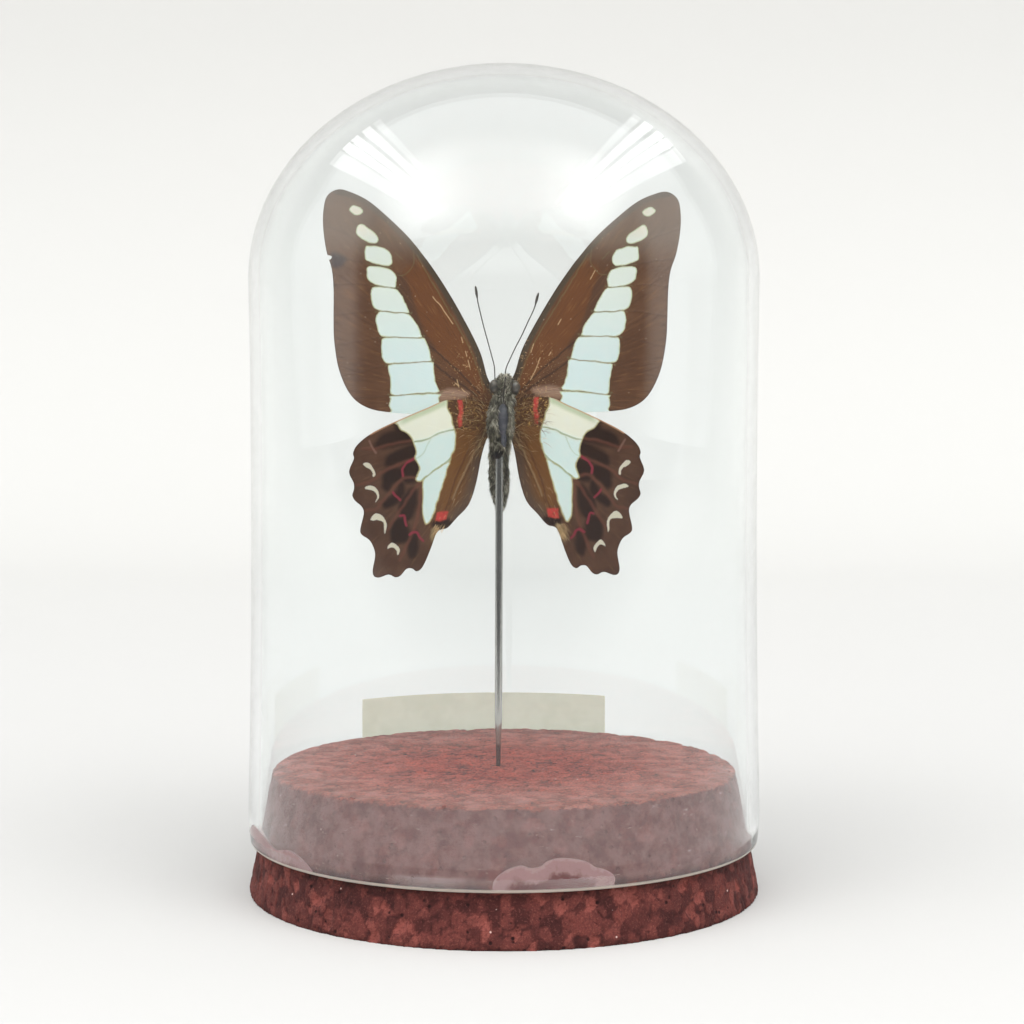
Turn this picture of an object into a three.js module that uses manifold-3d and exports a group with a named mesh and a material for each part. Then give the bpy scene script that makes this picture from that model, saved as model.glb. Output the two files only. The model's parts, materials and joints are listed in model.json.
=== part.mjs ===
// A blue-banded butterfly held on a steel needle under a blown glass dome, on a tapered cork base.
//
// Millimetres, +Z up. The origin is the centre of the cork's underside, -Y is the front, where the
// butterfly shows its underside, and +X is the viewer's right. "Left" and "right" are the viewer's.

import * as THREE from 'three';
import { mergeVertices } from 'three/addons/utils/BufferGeometryUtils.js';
import Module from 'manifold-3d';

const wasm = await Module();
wasm.setup();

// ---------------------------------------------------------------- driving dimensions

// The space kept between pieces that touch in the real object.
const CLEARANCE = 0.3;

// Sides of the cork, the dome and every ring cut from them, so that their facets line up.
const ROUND_SIDES = 60;

const CORK = { footRadius: 46.4, topRadius: 42.16, height: 22.3, easedEdge: 0.4 };

const DOME = {
  radius: 46.5,
  waistRadius: 45.9,
  wall: 2,
  lipHeight: 9.2,
  waistHeight: 60,
  shoulderHeight: 110.7,
  crownRise: 38.9,
};

const NEEDLE = {
  radius: 0.7,
  neckRadius: 0.42,
  entry: [-1.04, -2.8, CORK.height],
  leanBack: 0.0335,
  leanRight: 0.0055,
  depthInCork: 13,
  reach: 60.2,
};

const LABEL = { height: 16, top: 29.1, thickness: 0.3, fromDegrees: 62.9, toDegrees: 129.3 };

const GLUE = { thickness: 1.3, foot: 9.0, peak: 14.6 };

// The insect's own frame: x to the right of its middle plane, y back from it, z up from the level
// where the forewings join the thorax.
const INSECT = { place: [-0.9, 0, 87], rollDegrees: 0.86 };
const WING_THICKNESS = 0.3;

// ---------------------------------------------------------------- joining and cutting

function welded(geometry) {
  const bare = geometry.clone();
  bare.deleteAttribute('normal');
  bare.deleteAttribute('uv');
  const whole = mergeVertices(bare, 1e-4);
  const corners = whole.index.array;
  const kept = [];
  for (let i = 0; i < corners.length; i += 3) {
    const [a, b, c] = [corners[i], corners[i + 1], corners[i + 2]];
    // The triangles that shrink to a line at a pole are left out.
    if (a !== b && b !== c && c !== a) kept.push(a, b, c);
  }
  whole.setIndex(kept);
  whole.computeVertexNormals();
  return whole;
}

function toSolid(geometry) {
  const whole = welded(geometry);
  return new wasm.Manifold(new wasm.Mesh({
    numProp: 3,
    vertProperties: new Float32Array(whole.attributes.position.array),
    triVerts: new Uint32Array(whole.index.array),
  }));
}

function toGeometry(solid) {
  const mesh = solid.getMesh();
  const geometry = new THREE.BufferGeometry();
  geometry.setAttribute('position', new THREE.BufferAttribute(mesh.vertProperties, 3));
  geometry.setIndex(new THREE.BufferAttribute(mesh.triVerts, 1));
  geometry.computeVertexNormals();
  return geometry;
}

function joined(geometries) {
  return toGeometry(geometries.map(toSolid).reduce((whole, next) => whole.add(next)));
}

function cut(geometry, tools) {
  return toGeometry(tools.map(toSolid).reduce((rest, tool) => rest.subtract(tool), toSolid(geometry)));
}

function common(geometry, tool) {
  return toGeometry(toSolid(geometry).intersect(toSolid(tool)));
}

// A tool made in one frame, seen from the frame of the mesh that it cuts.
function seenFrom(mesh, tool) {
  mesh.updateWorldMatrix(true, false);
  return tool.clone().applyMatrix4(mesh.matrixWorld.clone().invert());
}

// ---------------------------------------------------------------- basic forms

// A profile of [radius, height] pairs, turned about the Z axis. It runs up on the outside.
function turned(profile, sides = ROUND_SIDES) {
  const points = profile.map(([radius, height]) => new THREE.Vector2(radius, height));
  return new THREE.LatheGeometry(points, sides).rotateX(Math.PI / 2);
}

function ellipsoid([x, y, z], [rx, ry, rz], around = 12, along = 8) {
  return new THREE.SphereGeometry(1, around, along)
    .rotateX(Math.PI / 2)
    .scale(rx, ry, rz)
    .translate(x, y, z);
}

// A round stalk along a smooth curve through the points.
function stalk(points, radius, steps) {
  const path = new THREE.CatmullRomCurve3(points.map((point) => new THREE.Vector3(...point)));
  const section = new THREE.Shape().absarc(0, 0, radius, 0, 2 * Math.PI, false);
  return new THREE.ExtrudeGeometry(section, {
    steps,
    curveSegments: 3,
    bevelEnabled: false,
    extrudePath: path,
  });
}

function outlineShape(points) {
  return new THREE.Shape(points.map(([x, y]) => new THREE.Vector2(x, y)));
}

function part(name, geometry, color, roughness, metalness = 0, opacity = 1) {
  const material = new THREE.MeshStandardMaterial({
    color,
    roughness,
    metalness,
    opacity,
    transparent: opacity < 1,
  });
  const mesh = new THREE.Mesh(welded(geometry), material);
  mesh.name = name;
  return mesh;
}

// ---------------------------------------------------------------- glass dome

// From the inside of the crown, down the inner wall, round the lip and up the outer wall.
function domeProfile() {
  const { radius, waistRadius, wall, lipHeight, waistHeight, shoulderHeight, crownRise } = DOME;
  const crownSteps = 8;
  const inner = [];
  const outer = [];
  for (let i = 0; i <= crownSteps; i += 1) {
    const angle = (i / crownSteps) * (Math.PI / 2);
    const innerRadius = (radius - wall) * Math.sin(angle);
    const outerRadius = radius * Math.cos(angle);
    inner.push([innerRadius, shoulderHeight + (crownRise - wall) * Math.cos(angle)]);
    outer.push([outerRadius, shoulderHeight + crownRise * Math.sin(angle)]);
  }
  inner[0][0] = 0;
  outer[crownSteps][0] = 0;
  const lip = [
    [radius - wall, lipHeight + 4],
    [radius - wall + 0.2, lipHeight + 1],
    [radius - wall + 0.45, lipHeight],
    [radius - 1.1, lipHeight],
    [radius - 0.6, lipHeight + 1],
    [radius - 0.2, lipHeight + 3],
    [radius, lipHeight + 8],
  ];
  return [
    ...inner,
    [waistRadius - wall, waistHeight],
    ...lip,
    [waistRadius, waistHeight],
    ...outer,
  ];
}

// ---------------------------------------------------------------- needle

// The needle along its own axis, from the point in the cork to the tip in the insect. It is full
// size until just above the cork, where it starts to narrow to its point.
function needleForm(growth) {
  const { radius, neckRadius, depthInCork, reach } = NEEDLE;
  const neckAbove = 4;
  const shoulderAbove = 9;
  const profile = [
    [0, -depthInCork - growth],
    [0.12 + growth, -depthInCork],
    [neckRadius + growth, neckAbove],
    [radius + growth, shoulderAbove],
    [radius + growth, reach - 1.5],
    [0.3 + growth, reach],
    [0, reach + growth],
  ];
  return turned(profile, 12);
}

function placeNeedle(mesh) {
  mesh.position.set(...NEEDLE.entry);
  mesh.rotation.set(-NEEDLE.leanBack, NEEDLE.leanRight, 0);
  return mesh;
}

function needleHole() {
  const hole = placeNeedle(new THREE.Object3D());
  hole.updateMatrix();
  return needleForm(CLEARANCE).applyMatrix4(hole.matrix);
}

// ---------------------------------------------------------------- glue dabs

// Two dabs of dried glue fill the wedge between the glass lip and the cork. Each outline is seen
// from outside: along the lip from its middle, and height above the table.
const FRONT_DAB = {
  facingDegrees: 10.8,
  outline: [
    [-9.3, 9.3], [-5.0, 9.0], [1.5, 9.0], [8.6, 9.2], [9.4, 10.4], [7.2, 12.0], [4.4, 13.8],
    [1.4, 14.6], [-1.6, 13.5], [-4.2, 12.1], [-7.0, 12.3],
  ],
};
const LEFT_DAB = {
  facingDegrees: -62.5,
  outline: [
    [-13.4, 9.4], [-6.0, 9.0], [5.0, 9.0], [13.0, 9.2], [12.4, 10.6], [7.8, 12.2], [2.6, 11.6],
    [-2.8, 13.0], [-8.4, 13.6], [-12.6, 11.8],
  ],
};

function grownOutline(points, growth) {
  const box = new THREE.Box2().setFromPoints(points.map(([x, y]) => new THREE.Vector2(x, y)));
  const middle = box.getCenter(new THREE.Vector2());
  const size = box.getSize(new THREE.Vector2());
  const wider = 1 + (2 * growth) / size.x;
  const taller = 1 + (2 * growth) / size.y;
  return points.map(([x, y]) => [middle.x + (x - middle.x) * wider, middle.y + (y - middle.y) * taller]);
}

function dabForm(dab, growth) {
  const outside = DOME.radius - DOME.wall - CLEARANCE + 4 * growth;
  const inside = DOME.radius - DOME.wall - CLEARANCE - GLUE.thickness - growth;
  const bottom = GLUE.foot - 2;
  const top = GLUE.peak + 2;
  const ring = turned([
    [inside, top],
    [inside, bottom],
    [outside, bottom],
    [outside, top],
    [inside, top],
  ]);
  const seen = outlineShape(grownOutline(dab.outline, growth));
  const depth = 14;
  const block = new THREE.ExtrudeGeometry(seen, { depth, bevelEnabled: false })
    .rotateX(Math.PI / 2)
    .translate(0, depth / 2 - inside, 0)
    .rotateZ(THREE.MathUtils.degToRad(dab.facingDegrees));
  return common(ring, block);
}

// ---------------------------------------------------------------- cork base

function corkForm() {
  const { footRadius, topRadius, height, easedEdge } = CORK;
  const blank = turned([
    [0, 0],
    [footRadius - easedEdge, 0],
    [footRadius - 0.1, easedEdge],
    [topRadius + 0.1, height - easedEdge],
    [topRadius - easedEdge, height],
    [0, height],
  ]);
  const growth = CLEARANCE + 0.1;
  return cut(blank, [needleHole(), dabForm(FRONT_DAB, growth), dabForm(LEFT_DAB, growth)]);
}

// ---------------------------------------------------------------- paper label

// A strip of paper stuck round the back of the glass, outside.
function labelForm() {
  const inside = DOME.radius + CLEARANCE;
  const outside = inside + LABEL.thickness;
  const from = THREE.MathUtils.degToRad(LABEL.fromDegrees);
  const to = THREE.MathUtils.degToRad(LABEL.toDegrees);
  const plan = new THREE.Shape();
  plan.absarc(0, 0, outside, from, to, false);
  plan.absarc(0, 0, inside, to, from, true);
  return new THREE.ExtrudeGeometry(plan, { depth: LABEL.height, curveSegments: 9, bevelEnabled: false })
    .translate(0, 0, LABEL.top - LABEL.height);
}

// ---------------------------------------------------------------- butterfly body

// The abdomen's rings, from the waist to the tip: [height in the insect's frame, radius].
const ABDOMEN_RINGS = [
  [-8.6, 1.75],
  [-10.4, 1.85],
  [-12.2, 1.95],
  [-14.0, 1.85],
  [-15.6, 1.6],
  [-17.0, 1.2],
];
const ABDOMEN_TIP = -18.9;

function abdomenForm(growth) {
  const pinch = 0.12;
  const profile = [[0, ABDOMEN_TIP - growth], [0.65 + growth, ABDOMEN_TIP + 0.7]];
  for (const [height, radius] of [...ABDOMEN_RINGS].reverse()) {
    profile.push([radius + growth, height - 0.5]);
    profile.push([radius - pinch + growth, height + 0.7]);
  }
  profile.push([0, ABDOMEN_RINGS[0][0] + 2.4 + growth]);
  // It hangs back from the thorax and leans a little to the right, so the needle passes in front.
  const lean = new THREE.Matrix4().makeShear(0, 0, 0, 0, -0.045, -0.03);
  return turned(profile, 14).applyMatrix4(lean).translate(0.05, 1.65, 0);
}

// Six folded legs lie pressed along the thorax, three a side.
const FOLDED_LEGS = [
  [[2.2, -1.5, 2.4], [2.5, -1.9, -0.6], [2.2, -1.8, -3.6]],
  [[1.6, -2.0, 1.2], [1.9, -2.4, -1.8], [1.5, -2.3, -4.8]],
  [[2.4, -1.4, -2.0], [2.2, -1.6, -4.6], [1.7, -1.2, -7.0]],
  [[-0.9, -1.6, 2.2], [-1.3, -1.9, -0.6], [-1.0, -1.9, -3.4]],
  [[-0.4, -2.2, 0.6], [-0.7, -2.4, -2.0], [-0.3, -2.3, -4.8]],
  [[-1.4, -1.2, -2.2], [-1.2, -1.5, -4.6], [-0.8, -1.2, -7.0]],
];

function bodyForm(growth) {
  const grown = ([rx, ry, rz]) => [rx + growth, ry + growth, rz + growth];
  const forms = [
    ellipsoid([0.55, 0.4, -2.0], grown([2.95, 2.9, 5.2]), 20, 12),
    ellipsoid([0.5, 0.3, -6.6], grown([1.95, 2.3, 2.9]), 14, 8),
    ellipsoid([0.95, 0.0, 4.1], grown([2.1, 1.9, 2.2]), 14, 8),
    ellipsoid([-0.95, -0.2, 4.1], grown([1.1, 1.2, 1.4])),
    ellipsoid([2.85, -0.2, 4.0], grown([1.1, 1.2, 1.4])),
    ellipsoid([0.3, -1.3, 4.7], grown([0.7, 0.75, 1.85]), 10, 6),
    ellipsoid([1.6, -1.3, 4.6], grown([0.7, 0.75, 1.8]), 10, 6),
    abdomenForm(growth),
  ];
  for (const leg of FOLDED_LEGS) forms.push(stalk(leg, 0.35 + growth, 4));
  return joined(forms);
}

// ---------------------------------------------------------------- wings

// Wing outlines in the wing's own plane: [out from the hinge, up from the hinge]. Both wings of a
// pair share one outline, mirrored. They start and end inside the thorax, which trims the root.
const FOREWING_OUTLINE = [
  [0, 3.2], [1.6, 5.7], [3.0, 10.3], [5.4, 15.1], [8.9, 21.1], [12.5, 26.4], [16.3, 31.2],
  [20.2, 35.0], [24.3, 38.4], [27.7, 40.1], [30.3, 40.7], [32.4, 39.4], [33.0, 36.4],
  [32.9, 33.1], [32.2, 29.0], [31.1, 25.5], [30.7, 21.8], [30.6, 16.6], [30.4, 12.2],
  [29.4, 6.8], [27.1, 2.2], [23.8, -0.1], [19.1, -0.9], [12.0, -1.1], [5.0, -0.8], [0, -0.6],
];

// A short tear in the left forewing's outer margin.
const MARGIN_TEAR = [[33.6, 28.7], [31.1, 28.0], [31.3, 27.4], [33.4, 27.3]];

const HINDWING_OUTLINE = [
  [0, 4.6], [4.0, 5.6], [9.2, 5.5], [12.6, 4.1], [16.3, 2.5], [20.0, 0.8], [23.2, -0.9],
  [25.6, -2.9], [26.4, -4.5], [26.2, -5.5], [27.1, -7.9], [26.2, -9.9], [26.1, -11.1],
  [26.4, -12.2], [25.9, -13.2], [24.6, -14.3], [24.2, -15.6], [24.8, -18.4], [24.5, -19.5],
  [23.0, -20.5], [22.1, -22.3], [22.0, -23.7], [22.4, -26.0], [22.1, -27.1], [21.1, -27.3],
  [19.4, -26.7], [18.1, -27.2], [17.1, -26.8], [16.1, -25.6], [15.0, -25.5], [14.2, -26.0],
  [13.1, -25.2], [11.8, -22.2], [10.8, -19.3], [10.0, -18.3], [8.6, -17.9], [6.8, -15.9],
  [4.7, -13.5], [3.4, -9.5], [2.5, -4.6], [1.5, -1.3], [0, -0.6],
];

// How each wing is set: hinge place in the insect's frame, how far the plane sweeps back, and how
// far the wing is turned up in its own plane.
const WINGS = [
  { name: 'forewing_left', side: -1, hinge: [0.6, 1.7, 0], sweepDegrees: 5, turnDegrees: 0 },
  { name: 'forewing_right', side: 1, hinge: [1.13, 1.7, 0.88], sweepDegrees: 10, turnDegrees: -0.12 },
  { name: 'hindwing_left', side: -1, hinge: [0.6, 0.9, -4], sweepDegrees: 4, turnDegrees: 0 },
  { name: 'hindwing_right', side: 1, hinge: [0.47, 0.9, -3.31], sweepDegrees: 10, turnDegrees: 0.78 },
];

function wingPlate(outline, side, smoothness) {
  const points = outline.map(([out, up]) => new THREE.Vector2(side * out, up));
  const edge = new THREE.Shape(new THREE.SplineCurve(points).getPoints(smoothness * (points.length - 1)));
  return new THREE.ExtrudeGeometry(edge, { depth: WING_THICKNESS, bevelEnabled: false })
    .translate(0, 0, -WING_THICKNESS / 2)
    .rotateX(Math.PI / 2);
}

function wing(setting, insect, bodyRoom) {
  const { name, side, hinge, sweepDegrees, turnDegrees } = setting;
  const fore = name.startsWith('forewing');
  const plate = fore ? wingPlate(FOREWING_OUTLINE, side, 2) : wingPlate(HINDWING_OUTLINE, side, 1);
  const mesh = part(name, plate, fore ? 0x6f4e3c : 0x5f4638, 0.75);
  mesh.position.set(side * hinge[0], hinge[1], hinge[2]);
  mesh.rotation.set(0, THREE.MathUtils.degToRad(-side * turnDegrees), 0);
  mesh.rotateOnWorldAxis(new THREE.Vector3(0, 0, 1), THREE.MathUtils.degToRad(side * sweepDegrees));
  insect.add(mesh);
  mesh.updateMatrix();
  const tools = [bodyRoom.clone().applyMatrix4(mesh.matrix.clone().invert())];
  if (name === 'forewing_left') {
    const tear = new THREE.ExtrudeGeometry(
      outlineShape(MARGIN_TEAR.map(([out, up]) => [side * out, up])),
      { depth: 4, bevelEnabled: false },
    );
    tools.push(tear.translate(0, 0, -2).rotateX(Math.PI / 2));
  }
  mesh.geometry = cut(mesh.geometry, tools);
  return mesh;
}

// ---------------------------------------------------------------- antennae

const ANTENNAE = {
  antenna_left: [
    [-0.8, 1.0, 5.0], [-0.98, 1.0, 7.7], [-1.4, 1.0, 9.4], [-2.15, 1.0, 12.0], [-3.05, 1.0, 15.1],
    [-3.65, 1.0, 17.4], [-4.15, 1.0, 19.4], [-4.4, 1.0, 20.8],
  ],
  antenna_right: [
    [0.98, 1.0, 5.4], [1.15, 1.0, 7.4], [1.8, 1.0, 9.1], [2.9, 1.0, 11.5], [4.05, 1.0, 13.8],
    [5.1, 1.0, 16.2], [6.1, 1.0, 18.4], [6.5, 1.0, 19.8],
  ],
};
const ANTENNA_RADIUS = 0.17;
const ANTENNA_CLUB = { radius: 0.32, halfLength: 1.25 };

function antenna(name, bodyRoom) {
  const points = ANTENNAE[name];
  const end = new THREE.Vector3(...points.at(-1));
  const before = new THREE.Vector3(...points.at(-2));
  const direction = end.clone().sub(before).normalize();
  const middle = end.clone().addScaledVector(direction, 0.7);
  const turn = new THREE.Quaternion().setFromUnitVectors(new THREE.Vector3(0, 0, 1), direction);
  const club = ellipsoid([0, 0, 0], [ANTENNA_CLUB.radius, ANTENNA_CLUB.radius, ANTENNA_CLUB.halfLength], 8, 8)
    .applyQuaternion(turn)
    .translate(middle.x, middle.y, middle.z);
  const whole = joined([stalk(points, ANTENNA_RADIUS, 14), club]);
  return part(name, cut(whole, [bodyRoom]), 0x3a362f, 0.6);
}

// ---------------------------------------------------------------- assembly

const butterflyInDome = new THREE.Group();

const cork = part('cork_base', corkForm(), 0x8a4540, 0.9);
const dome = part('glass_dome', turned(domeProfile()), 0xeaf2f0, 0.05, 0, 0.25);
const needle = placeNeedle(part('needle', needleForm(0), 0x9a9a98, 0.25, 1));
const label = part('label', labelForm(), 0xcdc8af, 0.8);
const frontDab = part('glue_dab_front', dabForm(FRONT_DAB, 0), 0xd8b8b4, 0.4, 0, 0.7);
const leftDab = part('glue_dab_left', dabForm(LEFT_DAB, 0), 0xd8b8b4, 0.4, 0, 0.7);
butterflyInDome.add(cork, dome, needle, label, frontDab, leftDab);

const insect = new THREE.Group();
insect.position.set(...INSECT.place);
insect.rotation.y = THREE.MathUtils.degToRad(INSECT.rollDegrees);
butterflyInDome.add(insect);

const bodyRoom = bodyForm(CLEARANCE);
const body = part('butterfly_body', bodyForm(0), 0x5a564b, 0.95);
insect.add(body);
body.geometry = cut(body.geometry, [seenFrom(body, needleHole())]);
for (const setting of WINGS) wing(setting, insect, bodyRoom);
for (const name of Object.keys(ANTENNAE)) insect.add(antenna(name, bodyRoom));

export default butterflyInDome;
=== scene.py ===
# %% [markdown]
# # A butterfly on a needle, under a glass dome
# The CAD model is the fixed frame: it says where every piece of the object is, and how big.
# Everything below only gives those pieces their looks, so the frame is loaded first and its
# box is kept.

# %% Load the frame
import json
import math

import bpy
import numpy as np
from mathutils import Matrix, Vector, kdtree, noise

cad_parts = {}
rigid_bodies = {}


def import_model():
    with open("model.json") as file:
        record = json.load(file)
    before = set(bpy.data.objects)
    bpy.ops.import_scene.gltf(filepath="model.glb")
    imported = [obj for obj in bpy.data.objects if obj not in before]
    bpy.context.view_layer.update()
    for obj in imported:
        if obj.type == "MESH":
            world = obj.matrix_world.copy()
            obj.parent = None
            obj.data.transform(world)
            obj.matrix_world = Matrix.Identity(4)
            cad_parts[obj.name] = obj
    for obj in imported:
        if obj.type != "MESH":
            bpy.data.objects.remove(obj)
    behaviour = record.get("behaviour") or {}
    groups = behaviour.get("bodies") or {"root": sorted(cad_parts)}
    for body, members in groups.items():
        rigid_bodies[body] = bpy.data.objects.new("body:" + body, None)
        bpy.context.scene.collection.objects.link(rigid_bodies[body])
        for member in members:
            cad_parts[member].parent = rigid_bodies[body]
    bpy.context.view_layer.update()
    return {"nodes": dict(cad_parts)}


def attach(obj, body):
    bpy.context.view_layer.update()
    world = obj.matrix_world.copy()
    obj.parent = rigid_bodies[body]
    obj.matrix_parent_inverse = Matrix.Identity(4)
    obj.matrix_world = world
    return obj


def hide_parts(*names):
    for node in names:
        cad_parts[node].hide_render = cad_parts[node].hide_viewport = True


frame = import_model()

MM = 0.001
print("nodes in the frame:", ", ".join(sorted(frame["nodes"])))

# %% [markdown]
# ## The camera
# The object is looked at from its front with a short telephoto lens, held level a little above
# the middle. A level camera keeps the dome's sides upright, and the lens is shifted down
# instead of tilted, which is the usual way to frame a tall glass. The camera comes first,
# because every finish is judged through it.

# %% Set the camera
EYE_DISTANCE = 356 * MM
EYE_HEIGHT = 83.4 * MM
FRAME_PIXELS = 1024
FOCAL_PIXELS = 1943
AXIS_PIXEL_X = 504.0
HORIZON_PIXEL_Y = 428.9

bpy.ops.object.select_all(action="DESELECT")
bpy.ops.object.camera_add(location=(0, -EYE_DISTANCE, EYE_HEIGHT), rotation=(math.pi / 2, 0, 0))
camera = bpy.context.object
camera.name = "camera"
camera.data.sensor_width = 36
camera.data.lens = camera.data.sensor_width * FOCAL_PIXELS / FRAME_PIXELS
camera.data.shift_x = (FRAME_PIXELS / 2 - AXIS_PIXEL_X) / FRAME_PIXELS
camera.data.shift_y = (HORIZON_PIXEL_Y - FRAME_PIXELS / 2) / FRAME_PIXELS
camera.data.clip_start = 0.01
bpy.context.scene.camera = camera
bpy.context.scene.view_settings.view_transform = "Standard"
print(f"lens {camera.data.lens:.1f} mm, shift {camera.data.shift_x:.4f}, {camera.data.shift_y:.4f}")

# %% [markdown]
# ## A pale sweep to stand on
# A plain sheet that runs back from under the object and curves up behind it leaves no horizon
# line to show through the glass. It is modelled as such a sheet is hung: a flat floor whose
# back edge is extruded in short steps round a bend and then straight up. Towards the viewer
# the sheet darkens to a grey, so that the glass has no bright floor to mirror there.

# %% Helpers for modelling by hand
def select_only(obj):
    """Leave edit mode and make this the one selected object."""
    if bpy.context.object and bpy.context.object.mode != "OBJECT":
        bpy.ops.object.mode_set(mode="OBJECT")
    bpy.ops.object.select_all(action="DESELECT")
    obj.select_set(True)
    bpy.context.view_layer.objects.active = obj


def rename(name):
    obj = bpy.context.object
    obj.name = obj.data.name = name
    return obj


def apply_place(obj):
    """Move the object's place, turn and size into its mesh."""
    select_only(obj)
    bpy.ops.object.transform_apply(location=True, rotation=True, scale=True)


def apply_modifier(obj, kind, **settings):
    select_only(obj)
    modifier = obj.modifiers.new(kind.title(), kind)
    for key, value in settings.items():
        setattr(modifier, key, value)
    bpy.ops.object.modifier_apply(modifier=modifier.name)


def face_outwards(obj):
    """Turn every face of a closed shape to its outside."""
    select_only(obj)
    bpy.ops.object.mode_set(mode="EDIT")
    bpy.ops.mesh.select_all(action="SELECT")
    bpy.ops.mesh.normals_make_consistent(inside=False)
    bpy.ops.object.mode_set(mode="OBJECT")


def smooth(obj, degrees):
    select_only(obj)
    bpy.ops.object.shade_smooth_by_angle(angle=math.radians(degrees))


# %% Hang the sweep
SWEEP_WIDTH = 8.0
SWEEP_FRONT = -4.0
SWEEP_BACK = 0.75
SWEEP_BEND = 0.45
SWEEP_TOP = 2.2
BEND_STEPS = 12

select_only(camera)
camera.select_set(False)
bpy.ops.mesh.primitive_plane_add(size=1, location=(0, (SWEEP_FRONT + SWEEP_BACK) / 2, 0))
sweep = rename("sweep")
sweep.scale = (SWEEP_WIDTH, SWEEP_BACK - SWEEP_FRONT, 1)
apply_place(sweep)
bpy.ops.object.mode_set(mode="EDIT")
bpy.ops.mesh.select_mode(type="EDGE")
bpy.ops.mesh.select_all(action="DESELECT")
bpy.ops.object.mode_set(mode="OBJECT")
for edge in sweep.data.edges:
    edge.select = all(sweep.data.vertices[v].co.y > SWEEP_BACK - 0.01 for v in edge.vertices)
bpy.ops.object.mode_set(mode="EDIT")
for step in range(BEND_STEPS):
    low, high = (math.pi / 2 * (step + k) / BEND_STEPS for k in (0, 1))
    move = (0, SWEEP_BEND * (math.sin(high) - math.sin(low)), SWEEP_BEND * (math.cos(low) - math.cos(high)))
    bpy.ops.mesh.extrude_region_move(TRANSFORM_OT_translate={"value": move})
bpy.ops.mesh.extrude_region_move(TRANSFORM_OT_translate={"value": (0, 0, SWEEP_TOP)})
smooth(sweep, 60)
print("sweep faces:", len(sweep.data.polygons))

# %% [markdown]
# ## Writing finishes
# Every finish is a node tree. The same few nodes come back all the time, so a small class gives
# each of them one short call: a noise, a soft step between two values, a mix of two colours and
# a bump. Most colours are built up as a painter does it, from a first coat and thinner coats
# over it. Values that are the same all over a surface are set on the shader itself.

# %% A small kit for node materials
def srgb(red, green, blue):
    """A colour as read off a swatch, 0 to 255, in the linear light that shaders use."""
    def linear(value):
        value /= 255
        return value / 12.92 if value <= 0.04045 else ((value + 0.055) / 1.055) ** 2.4
    return (linear(red), linear(green), linear(blue), 1.0)


class Finish:
    """One material, with short calls for the nodes that every finish uses."""

    def __init__(self, name, color, **sockets):
        self.material = bpy.data.materials.new(name)
        self.material.use_nodes = True
        self.nodes = self.material.node_tree.nodes
        self.shader = self.nodes["Principled BSDF"]
        self.shader.inputs["Base Color"].default_value = color
        for key, value in sockets.items():
            self.shader.inputs[key.replace("_", " ")].default_value = value
        self.material.diffuse_color = color

    def link(self, source, target):
        self.material.node_tree.links.new(source, target)

    def feed(self, socket, value):
        if isinstance(value, bpy.types.NodeSocket):
            self.link(value, socket)
        else:
            socket.default_value = value

    def place(self, stretch=(1, 1, 1)):
        """Object coordinates, stretched along an axis where the pattern runs along it."""
        coordinates = self.nodes.new("ShaderNodeTexCoord")
        mapping = self.nodes.new("ShaderNodeMapping")
        mapping.inputs["Scale"].default_value = stretch
        self.link(coordinates.outputs["Object"], mapping.inputs["Vector"])
        return mapping.outputs["Vector"]

    def along(self, axis):
        """Where a point is along X, Y or Z, in metres."""
        split_place = self.nodes.new("ShaderNodeSeparateXYZ")
        self.link(self.place(), split_place.inputs["Vector"])
        return split_place.outputs[axis]

    def attribute(self, name):
        node = self.nodes.new("ShaderNodeAttribute")
        node.attribute_name = name
        return node.outputs["Fac"]

    def noise(self, scale, detail=3, rough=0.55, stretch=(1, 1, 1)):
        node = self.nodes.new("ShaderNodeTexNoise")
        self.link(self.place(stretch), node.inputs["Vector"])
        node.inputs["Scale"].default_value = scale
        node.inputs["Detail"].default_value = detail
        node.inputs["Roughness"].default_value = rough
        return node.outputs["Fac"]

    def cells(self, scale):
        node = self.nodes.new("ShaderNodeTexVoronoi")
        self.link(self.place(), node.inputs["Vector"])
        node.inputs["Scale"].default_value = scale
        return node.outputs["Distance"]

    def step(self, value, low, high, start=0.0, end=1.0):
        """Rise softly from start to end while value goes from low to high."""
        node = self.nodes.new("ShaderNodeMapRange")
        node.interpolation_type = "SMOOTHSTEP"
        self.link(value, node.inputs["Value"])
        for key, number in (("From Min", low), ("From Max", high), ("To Min", start), ("To Max", end)):
            node.inputs[key].default_value = number
        return node.outputs["Result"]

    def math(self, operation, first, second=0.0):
        node = self.nodes.new("ShaderNodeMath")
        node.operation = operation
        self.feed(node.inputs[0], first)
        self.feed(node.inputs[1], second)
        return node.outputs["Value"]

    def mix(self, amount, first, second):
        node = self.nodes.new("ShaderNodeMix")
        node.data_type = "RGBA"
        self.feed(node.inputs[0], amount)
        self.feed(node.inputs[6], first)
        self.feed(node.inputs[7], second)
        return node.outputs[2]

    def first_coat(self, value):
        """Start the colour that every later coat is painted over."""
        self.tone = value

    def paint(self, amount, swatch):
        """Lay a colour over the coats so far, as thick as amount says."""
        self.tone = self.mix(amount, self.tone, swatch)

    def color(self, value):
        self.link(value, self.shader.inputs["Base Color"])

    def bump(self, height, depth, strength=1.0):
        node = self.nodes.new("ShaderNodeBump")
        node.inputs["Strength"].default_value = strength
        node.inputs["Distance"].default_value = depth
        self.link(height, node.inputs["Height"])
        self.link(node.outputs["Normal"], self.shader.inputs["Normal"])

    def on(self, obj):
        obj.data.materials.clear()
        obj.data.materials.append(self.material)


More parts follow.
